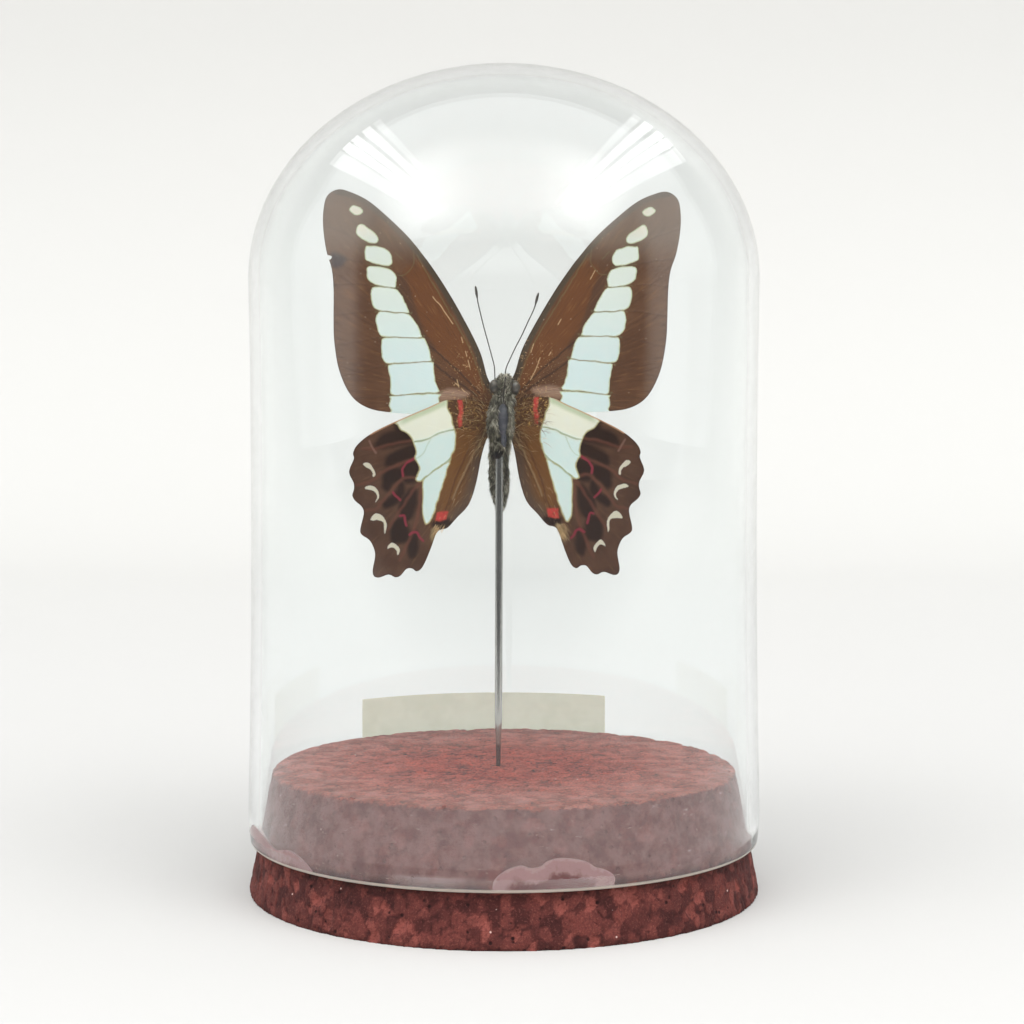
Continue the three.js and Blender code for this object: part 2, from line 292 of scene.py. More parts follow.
paper_white = Finish("sweep paper", srgb(205, 206, 206), Roughness=0.9)
run_back = paper_white.along("Y")
paper_tone = paper_white.mix(paper_white.step(run_back, 0.15, 1.1), srgb(188, 188, 187), srgb(202, 202, 200))
paper_white.color(paper_white.mix(paper_white.step(run_back, -0.62, -0.27), srgb(70, 70, 72), paper_tone))
paper_white.on(sweep)

# %% [markdown]
# ## The glass dome
# The dome is blown in a mould and cut off below, so it is a body of revolution: a slightly
# waisted tube under a crown that is a little flatter than a half ball, with walls two
# millimetres thick. Its lip turns in. It was cut and melted round, and its edge has stayed a
# little frosted, so it has a finish of its own. A solid of revolution is drawn as one profile
# and spun, which keeps both walls true to each other, so that the glass bends light at its edge
# as the real wall does.

# %% Draw a profile and spin it
def draw_profile(name, points):
    """Draw an open line of [radius, height] points, in metres, by extruding one vertex."""
    bpy.ops.object.select_all(action="DESELECT")
    bpy.ops.mesh.primitive_plane_add(size=MM, location=(0, 0, 0))
    obj = rename(name)
    bpy.ops.object.mode_set(mode="EDIT")
    bpy.ops.mesh.select_mode(type="VERT")
    bpy.ops.mesh.merge(type="CENTER")
    bpy.ops.transform.translate(value=(points[0][0], 0, points[0][1]))
    for (r0, z0), (r1, z1) in zip(points, points[1:]):
        bpy.ops.mesh.extrude_region_move(TRANSFORM_OT_translate={"value": (r1 - r0, 0, z1 - z0)})
    return obj


def spin_profile(name, points, steps):
    obj = draw_profile(name, points)
    bpy.ops.mesh.select_all(action="SELECT")
    bpy.ops.mesh.spin(steps=steps, angle=math.tau, center=(0, 0, 0), axis=(0, 0, 1))
    bpy.ops.mesh.select_all(action="SELECT")
    bpy.ops.mesh.remove_doubles(threshold=1e-6)
    bpy.ops.mesh.normals_make_consistent(inside=False)
    bpy.ops.object.mode_set(mode="OBJECT")
    apply_place(obj)
    return obj


# %% Blow the dome
DOME_RADIUS = 46.5 * MM
DOME_WAIST = 45.95 * MM
DOME_WALL = 2.0 * MM
LIP_HEIGHT = 9.2 * MM
WAIST_HEIGHT = 62 * MM
SHOULDER_HEIGHT = 110.7 * MM
CROWN_RISE = 38.8 * MM
LIP_TURN = 15.5 * MM


def dome_side(height):
    """Radius of the outer wall at a height below the shoulder."""
    rise = (height - WAIST_HEIGHT) / (SHOULDER_HEIGHT - WAIST_HEIGHT)
    radius = DOME_WAIST + (DOME_RADIUS - DOME_WAIST) * rise ** 2
    turned_in = max(0.0, (LIP_TURN - height) / (LIP_TURN - LIP_HEIGHT))
    return radius - 0.58 * MM * turned_in ** 1.8


def wall_at(height):
    """The wall thins towards the lip, where the glass was cut and melted smooth."""
    return min(DOME_WALL, 1.06 * MM + 0.3 * (height - LIP_HEIGHT))


def crown(wall, steps=28):
    """Points over the crown, from the shoulder to the axis, for the outer or the inner wall."""
    angles = [math.pi / 2 * i / steps for i in range(steps + 1)]
    return [((DOME_RADIUS - wall) * math.cos(a), SHOULDER_HEIGHT + (CROWN_RISE - wall) * math.sin(a))
            for a in angles]


side_heights = [LIP_HEIGHT + MM * h for h in (0.5, 0.8, 1.3, 1.9, 2.8, 4.2, 6, 9, 14, 22, 32, 42, 52, 62, 72, 82, 92)]
outer_side = [(dome_side(h), h) for h in side_heights]
inner_side = [(dome_side(h) - wall_at(h), h) for h in side_heights]
bead = (outer_side[0][0] - inner_side[0][0]) / 2
bead_centre = (outer_side[0][0] + inner_side[0][0]) / 2
bead_angles = [math.pi * k / 10 for k in range(1, 10)]
lip = [(bead_centre - bead * math.cos(a), side_heights[0] - 0.5 * MM * math.sin(a)) for a in bead_angles]
profile = crown(DOME_WALL)[::-1] + inner_side[::-1] + lip + outer_side + crown(0)
profile[0] = (0.0, profile[0][1])
profile[-1] = (0.0, profile[-1][1])
dome = spin_profile("dome_glass", profile, 128)
smooth(dome, 60)
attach(dome, "root")
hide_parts("glass_dome")

clear_glass = Finish("clear blown glass", srgb(252, 254, 254), Roughness=0.0, IOR=1.52, Transmission_Weight=1.0)
clear_glass.on(dome)
ground_glass = Finish("ground lip of the glass", srgb(206, 196, 184), Roughness=0.45, IOR=1.52,
                      Transmission_Weight=0.45)
ground_glass.bump(ground_glass.noise(1500, 3, 0.6), 0.1 * MM, 0.5)
dome.data.materials.append(ground_glass.material)
for face in dome.data.polygons:
    if max(dome.data.vertices[v].co.z for v in face.vertices) < side_heights[0] + 0.02 * MM:
        face.material_index = 1
print("dome faces:", len(dome.data.polygons), "lowest", min(v.co.z for v in dome.data.vertices) / MM)

# %% [markdown]
# ## The cork base
# The base is turned from pressed cork: granules of different reds, glued under pressure, with
# dark seams and small holes between them, and a few crumbs gone from the upper rim. The blank
# is a cone with eased edges. Remeshing gives it an even skin, fine enough to press the granules
# into. A cell pattern then decides, for every point of the skin, which granule it is on and how
# near the next one is, and that one answer drives both the pits in the mesh and the colours, so
# that a dark seam is always a real groove. The glass's milky veil is painted onto the cork as a
# reflection: a pale bloom on the side from just above the lip, and a paler top towards its rim.

# %% Turn the blank
CORK_FOOT = 46.4 * MM
CORK_TOP = 42.16 * MM
CORK_HEIGHT = 22.3 * MM

bpy.ops.object.select_all(action="DESELECT")
bpy.ops.mesh.primitive_cone_add(vertices=160, radius1=CORK_FOOT, radius2=CORK_TOP, depth=CORK_HEIGHT,
                                location=(0, 0, CORK_HEIGHT / 2))
cork = rename("cork")
apply_place(cork)
apply_modifier(cork, "BEVEL", width=0.3 * MM, segments=2, limit_method="ANGLE", angle_limit=math.radians(50))
apply_modifier(cork, "REMESH", mode="VOXEL", voxel_size=0.52 * MM)
print("cork skin faces:", len(cork.data.polygons))

# %% Press the granules
GRANULE = 2.0 * MM
GRANULE_LIFT = 0.14 * MM
SEAM_DEPTH = 0.22 * MM
HOLE_DEPTH = 0.55 * MM
HOLES_ABOVE = 0.93
PIT_DEPTH = 0.06 * MM
CHIP_DEPTH = 1.9 * MM
rng = np.random.default_rng(11)


def positions(obj):
    places = np.empty(len(obj.data.vertices) * 3)
    obj.data.vertices.foreach_get("co", places)
    return places.reshape(-1, 3)


def move_to(obj, places):
    obj.data.vertices.foreach_set("co", np.asarray(places, dtype=np.float32).ravel())
    obj.data.update()


def store(obj, name, values):
    """Keep one number per vertex, for the finish to read."""
    layer = obj.data.attributes.get(name) or obj.data.attributes.new(name, "FLOAT", "POINT")
    layer.data.foreach_set("value", np.asarray(values, dtype=np.float32))


def granule_pattern(places, size, jitter=0.85):
    """For each place, which granule it is in and how far, in granule sizes, the next one is."""
    low = places.min(axis=0) - 2 * size
    counts = np.ceil((places.max(axis=0) + 2 * size - low) / size).astype(int)
    grid = np.stack(np.meshgrid(*[np.arange(n) for n in counts], indexing="ij"), -1).reshape(-1, 3)
    seeds = low + (grid + 0.5 + jitter * (rng.random(grid.shape) - 0.5)) * size
    tree = kdtree.KDTree(len(seeds))
    for index, seed in enumerate(seeds):
        tree.insert(seed, index)
    tree.balance()
    which = np.empty(len(places), dtype=int)
    gap = np.empty(len(places))
    for row, place in enumerate(places):
        (_, first, near), (_, _, far) = tree.find_n(place, 2)
        which[row] = first
        gap[row] = (far - near) / size
    return rng.random(len(seeds))[which], gap


skin = positions(cork)
granule, gap = granule_pattern(skin, GRANULE)
radial = skin[:, :2] / np.maximum(np.linalg.norm(skin[:, :2], axis=1, keepdims=True), 1e-9)
on_side = np.clip((np.linalg.norm(skin[:, :2], axis=1) - (CORK_TOP - 1.2 * MM)) / (1.2 * MM), 0, 1)
seam = np.clip(1 - gap / 0.14, 0, 1) ** 1.5
lift = GRANULE_LIFT * granule
missing = (granule > HOLES_ABOVE) * np.clip(gap / 0.3, 0, 1) * HOLE_DEPTH
fine = np.array([noise.noise(Vector(p) / (0.9 * MM)) for p in skin]) * PIT_DEPTH
sink = seam * SEAM_DEPTH + (GRANULE_LIFT - lift) + missing + np.maximum(fine, 0)
near_rim = np.exp(-((skin[:, 2] - CORK_HEIGHT) ** 2 + (on_side - 0.6) ** 2 * MM ** 2 * 4) / (1.1 * MM) ** 2)
crumbs = np.array([noise.noise(Vector(p) / (3.2 * MM)) + 0.7 * noise.noise(Vector(p) / (1.1 * MM)) for p in skin])
rim_chip = near_rim * (on_side > 0.05) * np.clip(crumbs - 0.08, 0, 1) * CHIP_DEPTH
top = skin[:, 2] > CORK_HEIGHT - 0.3 * MM
bottom = skin[:, 2] < 0.2 * MM
skin[:, :2] -= radial * ((~top & ~bottom) * sink + rim_chip)[:, None]
skin[:, 2] -= top * sink * 0.8 + rim_chip * 0.7
skin[:, 2] = np.maximum(skin[:, 2], 0)
move_to(cork, skin)
store(cork, "granule", granule)
store(cork, "gap", gap)
store(cork, "top", top)
# Painted reflection: these mark where the cork is painted paler for the glass's veil, towards the top's rim and on
# the side under the glass.
store(cork, "painted_rim_veil", np.clip((np.linalg.norm(skin[:, :2], axis=1) / MM - 14) / 22, 0, 1) * top)
store(cork, "under_glass_veil", np.clip((skin[:, 2] / MM - 9.5) / 1.5, 0, 1) * ~top)
smooth(cork, 75)
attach(cork, "root")
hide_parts("cork_base")
print("granules pressed, deepest seam", round(float(sink.max() / MM), 2), "mm")

# %% Stain the cork
stained = Finish("stained pressed cork", srgb(104, 54, 50), Roughness=0.85, Specular_IOR_Level=0.3)
tone = stained.attribute("granule")
cloud = stained.noise(240, 4, 0.6)
fibre = stained.noise(2300, 5, 0.75)
grain = stained.noise(3000, 3, 0.65)
side_tone = stained.mix(stained.step(tone, 0.0, 0.6), srgb(64, 29, 28), srgb(104, 52, 47))
side_tone = stained.mix(stained.step(tone, 0.72, 0.95, 0.0, 0.62), side_tone, srgb(148, 80, 72))
top_tone = stained.mix(stained.step(tone, 0.0, 0.7), srgb(150, 54, 40), srgb(188, 80, 62))
stained.first_coat(stained.mix(stained.attribute("top"), side_tone, top_tone))
dark = stained.mix(stained.attribute("top"), srgb(52, 24, 24), srgb(78, 28, 25))
cloud_share = stained.math("SUBTRACT", 0.45, stained.math("MULTIPLY", stained.attribute("top"), 0.2))
stained.paint(stained.math("MULTIPLY", stained.step(cloud, 0.42, 0.66), cloud_share), dark)
fibre_share = stained.math("ADD", 0.45, stained.math("MULTIPLY", stained.attribute("top"), 0.43))
stained.paint(stained.math("MULTIPLY", stained.step(fibre, 0.47, 0.61), fibre_share), dark)
# Painted highlights: pale grain flecks, strongest on the top.
painted_highlight_share = stained.math("ADD", 0.11, stained.math("MULTIPLY", stained.attribute("top"), 0.4))
stained.paint(stained.math("MULTIPLY", stained.step(grain, 0.54, 0.66), painted_highlight_share), srgb(204, 128, 112))
seams = stained.step(stained.attribute("gap"), 0.0, 0.16, 0.85, 0.0)
stained.paint(stained.math("MULTIPLY", seams, stained.step(cloud, 0.34, 0.54)), dark)
holes = stained.step(stained.cells(560), 0.1, 0.24, 1.0, 0.0)
pores = stained.math("MULTIPLY", holes, stained.step(cloud, 0.46, 0.54))
stained.paint(pores, srgb(38, 16, 17))
# Painted reflection: the top is painted paler towards its rim, for the glass's veil over it.
painted_rim_veil = stained.math("MULTIPLY", stained.attribute("painted_rim_veil"), stained.step(cloud, 0.3, 0.62, 0.42, 0.2))
stained.paint(painted_rim_veil, srgb(232, 188, 178))
specks = stained.step(stained.cells(210), 0.02, 0.05, 0.85, 0.0)
stained.paint(specks, srgb(226, 198, 190))
# Painted reflection: the side under the glass is painted with a pale, low-contrast bloom and pale upright streaks,
# for the glass's veil over it.
painted_veil_colour = stained.mix(stained.step(stained.noise(330, 3, 0.6), 0.35, 0.65), srgb(157, 111, 108), srgb(192, 147, 143))
stained.paint(stained.math("MULTIPLY", stained.attribute("under_glass_veil"), 0.56), painted_veil_colour)
painted_veil_streaks = stained.step(stained.noise(420, 4, 0.7, (1, 1, 3.5)), 0.62, 0.74, 0.0, 0.5)
stained.paint(stained.math("MULTIPLY", painted_veil_streaks, stained.attribute("under_glass_veil")), srgb(222, 194, 186))
stained.color(stained.tone)
stained.bump(stained.math("SUBTRACT", stained.math("ADD", fibre, stained.math("MULTIPLY", grain, 0.5)), pores),
             0.3 * MM, 0.7)
stained.on(cork)

# %% [markdown]
# ## The steel needle
# The needle is bright drawn steel, round and polished, ground to a point at its lower end where
# it stands in the cork. It is turned on a lathe's axis, so it is drawn as one profile and spun, as
# the dome is, and the profile closes in at both ends. It leans back a little, so that it passes
# in front of the abdomen and reaches the insect where the thorax ends. The lowest stretch is
# painted brown, a painted reflection of the red cork in the steel.

# %% Grind the needle
NEEDLE_ENTRY = Vector((-1.04, -2.8, 22.3)) * MM
NEEDLE_RADIUS = 0.7 * MM
LEAN_BACK = -0.0335
LEAN_ASIDE = 0.0035
NEEDLE_LEAN = Matrix.Rotation(LEAN_BACK, 4, "X") @ Matrix.Rotation(LEAN_ASIDE, 4, "Y")
needle_line = [(0, -13), (0.1, -12.9), (0.3, -6), (0.42, 1.5), (0.45, 4.0), (0.5, 5.4), (0.62, 7.2), (0.69, 9.2),
               (0.7, 12), (0.7, 30), (0.7, 57.6), (0.62, 58.6), (0.36, 59.8), (0, 60.2)]
needle = spin_profile("needle_steel", [(r * MM, z * MM) for r, z in needle_line], 32)
needle.data.transform(Matrix.Translation(NEEDLE_ENTRY) @ NEEDLE_LEAN)
smooth(needle, 50)
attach(needle, "root")
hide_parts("needle")

steel = Finish("polished needle steel", srgb(172, 170, 166), Roughness=0.12, Metallic=1.0)
# Painted reflection: the lowest stretch of the steel is painted brown for the red cork mirrored in it.
steel.color(steel.mix(steel.step(steel.along("Z"), 25.6 * MM, 26.6 * MM), srgb(104, 58, 50), srgb(176, 174, 170)))
steel.bump(steel.noise(1400, 2, 0.5, (1, 1, 0.04)), 0.02 * MM, 0.35)
steel.on(needle)
print("needle stands at", [round(c / MM, 1) for c in NEEDLE_ENTRY], "mm")

# %% [markdown]
# ## Drawing on a flat wing
# A wing is a stiff dry skin, about a tenth of a millimetre thick, covered with rows of scales. Its
# outline, its windows and its marks are drawn in one flat pair of coordinates, in millimetres:
# how far out from the hinge a point lies, and how far up. Two measures are enough to draw with.
# One says how far a point is from a line, such as a vein. The other says how deep it is inside
# a closed shape, such as a window, and is below zero outside it.

# %% Smooth lines, and distances from them
def soft_line(points, closed=False, steps=5):
    """Put a smooth curve through some points."""
    p = np.asarray(points, float)
    last = len(p) - 1
    pick = (lambda i: p[i % len(p)]) if closed else (lambda i: p[min(max(i, 0), last)])
    curve = []
    for i in range(len(p) if closed else last):
        a, b, c, d = (pick(i + k) for k in (-1, 0, 1, 2))
        for t in np.arange(steps) / steps:
            curve.append(b + 0.5 * t * (c - a + t * (2 * a - 5 * b + 4 * c - d + t * (3 * b - a - 3 * c + d))))
    return np.array(curve if closed else curve + [p[-1]])


def off_line(points, line):
    """How far each point is from a line, and the nearest place on that line."""
    distance = np.full(len(points), np.inf)
    nearest = points.copy()
    for a, b in zip(line, line[1:]):
        along = b - a
        t = np.clip((points - a) @ along / max(along @ along, 1e-12), 0, 1)
        foot = a + t[:, None] * along
        gap = np.hypot(*(points - foot).T)
        closer = gap < distance
        distance[closer] = gap[closer]
        nearest[closer] = foot[closer]
    return distance, nearest


def depth_in(points, outline):
    """How deep each point is inside a closed outline, below 0 outside, and the nearest edge."""
    ring = np.vstack([outline, outline[:1]])
    distance, nearest = off_line(points, ring)
    inside = np.zeros(len(points), bool)
    for (ax, ay), (bx, by) in zip(ring, ring[1:]):
        if ay != by:
            level = (ay > points[:, 1]) != (by > points[:, 1])
            inside ^= level & (points[:, 0] < ax + (points[:, 1] - ay) * (bx - ax) / (by - ay))
    return np.where(inside, distance, -distance), nearest


def deepest(points, shapes):
    """Depth in the nearest of several closed shapes."""
    return np.max([depth_in(points, soft_line(shape, closed=True, steps=3))[0] for shape in shapes], axis=0)


def between(points, shapes):
    """Distance from the middle of the narrow gap between two neighbouring shapes."""
    depths = np.sort([depth_in(points, soft_line(shape, closed=True, steps=3))[0] for shape in shapes], axis=0)
    return np.where(depths[-2] > -0.8, (depths[-1] - depths[-2]) / 2, 9.0)


def nearest_line(points, lines):
    return np.min([off_line(points, soft_line(line))[0] for line in lines], axis=0)


# %% [markdown]
# ## Cutting the wing skins
# The skin starts as a fine grid, five to six squares to the millimetre. Squares outside the
# outline are deleted, and the points left over along the edge are drawn in to it. A grid is
# used, and not a filled outline, because the skin needs evenly spread points to carry the
# veins, a slight waviness and the distances to every mark.

# %% Cut a skin and hang it on its hinge
SIDES = ((-1, "left"), (1, "right"))
SKIN_STEP = 0.18
SKIN_THICKNESS = 0.13 * MM
DRAWN_IN = 0.3 * SKIN_STEP
WAVE_HEIGHT = 0.22 * MM
CRINKLE_HEIGHT = 0.035 * MM
VEIN_HEIGHT = 0.05 * MM
INSECT_PLACE = Vector((-0.9, 0, 87)) * MM
INSECT_TURN = Matrix.Rotation(math.radians(0.86), 4, "Y")
INSECT = Matrix.Translation(INSECT_PLACE) @ INSECT_TURN


def cut_skin(name, outline, tear=None):
    """Cut a flat skin out of a grid. Its x is out, its z is up, and it faces -Y."""
    low = outline.min(axis=0) - SKIN_STEP
    counts = np.ceil((outline.max(axis=0) + SKIN_STEP - low) / SKIN_STEP).astype(int)
    size = counts * SKIN_STEP
    middle = low + size / 2
    bpy.ops.object.select_all(action="DESELECT")
    bpy.ops.mesh.primitive_grid_add(x_subdivisions=int(counts[0]), y_subdivisions=int(counts[1]), size=1,
                                    location=(middle[0] * MM, 0, middle[1] * MM), rotation=(math.pi / 2, 0, 0))
    skin = rename(name)
    skin.scale = (size[0] * MM, size[1] * MM, 1)
    apply_place(skin)
    flat = positions(skin)[:, [0, 2]] / MM
    depth, edge = depth_in(flat, outline)
    if tear is not None:
        tear_depth, tear_edge = depth_in(flat, tear)
        torn = -tear_depth < depth
        depth = np.where(torn, -tear_depth, depth)
        edge[torn] = tear_edge[torn]
    corners = np.empty(len(skin.data.polygons) * 4, dtype=np.int32)
    skin.data.polygons.foreach_get("vertices", corners)
    kept = (depth > DRAWN_IN)[corners.reshape(-1, 4)].any(axis=1)
    move = depth < DRAWN_IN
    flat[move] = edge[move]
    move_to(skin, np.stack([flat[:, 0], np.zeros(len(flat)), flat[:, 1]], axis=1) * MM)
    skin.data.polygons.foreach_set("select", ~kept)
    select_only(skin)
    bpy.ops.object.mode_set(mode="EDIT")
    bpy.ops.mesh.select_mode(type="FACE")
    bpy.ops.object.mode_set(mode="OBJECT")
    skin.data.polygons.foreach_set("select", ~kept)
    bpy.ops.object.mode_set(mode="EDIT")
    bpy.ops.mesh.delete(type="FACE")
    bpy.ops.mesh.select_all(action="SELECT")
    bpy.ops.mesh.remove_doubles(threshold=2e-6)
    bpy.ops.object.mode_set(mode="OBJECT")
    return skin


def hang(skin, side, hinge, sweep, turn):
    """Thicken a flat skin and hang it on its hinge, on the left (-1) or on the right (1)."""
    apply_modifier(skin, "SOLIDIFY", thickness=SKIN_THICKNESS, offset=0)
    swing = Matrix.Rotation(math.radians(sweep), 4, "Z") @ Matrix.Rotation(math.radians(-turn), 4, "Y")
    mirror = Matrix.Diagonal((side, 1, 1, 1))
    out = Matrix.Translation(Vector((hinge[0] * side, hinge[1], hinge[2])) * MM)
    skin.data.transform(INSECT @ out @ mirror @ swing)
    face_outwards(skin)
    smooth(skin, 60)


def flat_places(skin):
    return positions(skin)[:, [0, 2]] / MM


def lift_skin(skin, ridges, seed):
    """Raise the veins towards the front, and let the dry skin wave a little."""
    places = positions(skin)
    waves = [noise.noise(Vector((x / 0.009, seed, z / 0.012))) for x, _, z in places]
    crinkle = [noise.noise(Vector((x / 0.0022, seed + 5, z / 0.004))) for x, _, z in places]
    places[:, 1] += np.array(waves) * WAVE_HEIGHT + np.array(crinkle) * CRINKLE_HEIGHT
    places[:, 1] -= np.exp(-(ridges / 0.16) ** 2) * VEIN_HEIGHT
    move_to(skin, places)


def store_marks(skin, measure, marks):
    """Store one distance for each mark, as one of the measures above gives it."""
    for name, shapes in marks.items():
        store(skin, name, measure(shapes))


def store_fan(skin, base):
    """A pattern map that opens like a fan: distance from the base, and angle round it."""
    flat = flat_places(skin) - np.asarray(base)
    fan = np.stack([np.hypot(*flat.T) / 40, np.arctan2(flat[:, 1], flat[:, 0]) / math.pi + 0.5], axis=1)
    loops = np.empty(len(skin.data.loops), dtype=np.int32)
    skin.data.loops.foreach_get("vertex_index", loops)
    layer = skin.data.uv_layers.active or skin.data.uv_layers.new(name="fan")
    layer.data.foreach_set("uv", fan[loops].astype(np.float32).ravel())


# %% [markdown]
# ## The forewings
# Each forewing has a row of nine pale windows, cut apart by thin dark veins, a dark stripe
# along its leading edge, and a warmer field inside. The left one has a small tear in its outer
# margin, with a dark smudge at it. Both wings are cut to the same shapes, and each has its own
# waves and scratches, as two wings of one insect do.

# %% Shapes of a forewing
FOREWING = [(0, 3.2), (1.6, 5.7), (3.0, 10.3), (5.4, 15.1), (8.9, 21.1), (12.5, 26.4), (16.3, 31.2), (20.2, 35.0),
            (24.3, 38.4), (27.7, 40.1), (30.3, 40.7), (32.4, 39.4), (33.0, 36.4), (32.9, 33.1), (32.2, 29.0),
            (31.1, 25.5), (30.7, 21.8), (30.6, 16.6), (30.4, 12.2), (29.4, 6.8), (27.1, 2.2), (23.8, -0.1),
            (19.1, -0.9), (12.0, -1.1), (5.0, -0.8), (0, -0.6)]
LEADING_POINTS = 11
TEAR = [(33.6, 28.7), (31.1, 28.0), (31.3, 27.4), (33.4, 27.3)]
WINDOWS = [
    [(27.2, 37.6), (28.0, 37.1), (27.8, 36.5), (26.5, 35.8), (25.4, 36.4), (26.1, 37.2)],
    [(25.9, 34.1), (26.5, 32.9), (26.3, 32.0), (24.8, 31.0), (23.0, 30.5), (22.4, 31.3), (22.9, 32.2), (24.3, 33.3)],
    [(24.7, 29.8), (24.8, 28.2), (24.4, 27.2), (22.4, 26.5), (20.6, 26.2), (19.8, 26.8), (19.9, 28.0), (20.5, 29.1),
     (21.9, 29.7), (23.9, 30.0)],
    [(24.3, 25.9), (24.4, 24.8), (24.1, 23.6), (22.3, 22.6), (19.4, 22.2), (19.0, 22.8), (18.9, 23.9), (19.5, 25.1),
     (20.9, 25.8), (23.0, 26.1)],
    [(23.2, 22.2), (23.6, 21.0), (23.3, 19.3), (22.3, 18.1), (19.9, 17.7), (16.7, 17.6), (16.7, 18.3), (17.4, 19.9),
     (18.5, 21.6), (19.7, 22.1), (21.8, 22.3)],
    [(21.8, 17.8), (22.5, 16.7), (22.4, 15.2), (21.8, 13.6), (20.2, 13.1), (14.6, 13.0), (14.2, 13.6), (14.8, 15.3),
     (16.1, 17.0), (17.0, 17.5), (19.4, 17.6)],
    [(20.7, 12.9), (21.4, 12.2), (21.4, 10.3), (21.0, 8.7), (19.8, 8.2), (15.1, 8.4), (12.4, 8.7), (12.3, 9.3),
     (12.8, 11.4), (13.4, 12.6), (14.3, 12.9), (17.5, 13.0)],
    [(19.6, 8.0), (20.1, 7.6), (19.9, 6.3), (19.6, 4.8), (19.6, 3.4), (19.4, 2.5), (17.9, 2.3), (14.5, 2.8),
     (10.8, 3.0), (11.0, 4.1), (11.5, 5.5), (11.7, 7.6), (12.2, 8.6), (16.3, 8.3)],
    [(19.1, 2.2), (19.5, 1.7), (19.8, 0.5), (19.4, -0.5), (19.1, -1.1), (10.8, -1.0), (10.7, 1.8), (10.9, 2.7)]]
INNER_FIELD = [(14.5, 27.0), (11.2, 21.3), (7.8, 15.4), (4.9, 10.5), (2.6, 3.9), (3.4, 3.3), (6.4, 6.6), (9.6, 9.7),
               (12.4, 12.1), (14.3, 15.4), (15.9, 19.1), (16.7, 22.7), (17.2, 24.6)]
DARK_BAND = [(17.8, 24.4), (16.7, 22.7), (15.5, 19.1), (13.9, 14.5), (11.8, 11.3), (12.0, 10.4), (13.5, 11.7),
             (15.2, 15.4), (16.8, 18.1), (18.1, 21.8), (19.3, 24.4)]
PALE_BASE = [(10.8, 2.9), (8.9, 3.6), (7.1, 3.5), (5.0, 2.9), (6.2, 1.8), (8.2, 1.6), (10.4, 1.5)]
SMUDGE = [(31.3, 28.6), (30.0, 28.4), (28.5, 27.6), (29.4, 26.2), (30.9, 26.1)]
MAIN_VEINS = [[(14.3, 13.2), (12.4, 11.5), (10.5, 9.9), (8.6, 8.2), (6.7, 6.6), (4.9, 4.8), (3.0, 2.8)],
              [(12.1, 8.6), (9.5, 6.6), (6.6, 4.6), (3.6, 2.4)], [(10.9, 2.9), (7.5, 2.6), (3.6, 1.6)]]
THIN_VEINS = [[(15.1, 28.3), (13.0, 24.6), (10.7, 20.8), (8.6, 17.3), (6.7, 14.2), (4.9, 10.9), (3.4, 7.2),
               (2.2, 3.5)],
              [(15.8, 29.2), (15.6, 27.0), (16.5, 25.3), (17.8, 24.4), (19.5, 24.8), (20.4, 25.5)],
              [(19.2, 28.8), (17.8, 27.4)]]
OUTER_VEINS = [[(24.9, 30.4), (28.5, 32.2), (32.7, 33.8)], [(24.6, 26.6), (28.0, 27.4), (31.6, 27.9)],
               [(23.9, 22.7), (27.5, 22.9), (30.7, 22.6)], [(22.8, 17.9), (26.5, 17.6), (30.6, 17.0)],
               [(21.7, 13.0), (26.0, 12.2), (30.4, 11.4)], [(20.3, 8.0), (25.0, 6.6), (29.2, 5.8)],
               [(20.0, 2.3), (23.5, 1.8), (26.6, 1.6)]]
SCRATCHES = {-1: [[(12.0, 20.6), (11.4, 19.8), (10.6, 19.1), (9.9, 18.0), (9.1, 16.9), (8.2, 15.6)],
                  [(6.6, 13.2), (6.3, 12.2)], [(5.8, 10.6), (5.5, 9.6)], [(5.3, 9.0), (4.9, 7.5)],
                  [(7.6, 4.7), (6.9, 4.2)], [(6.3, 3.6), (5.8, 3.1)], [(7.3, 5.4), (6.9, 3.9)]],
             1: [[(6.4, 8.8), (5.6, 6.6), (4.6, 4.6)], [(8.4, 9.9), (8.0, 9.2)], [(16.5, 25.2), (15.6, 23.5)],
                 [(10.2, 16.0), (9.6, 14.9)], [(5.1, 11.3), (4.6, 9.7)]]}

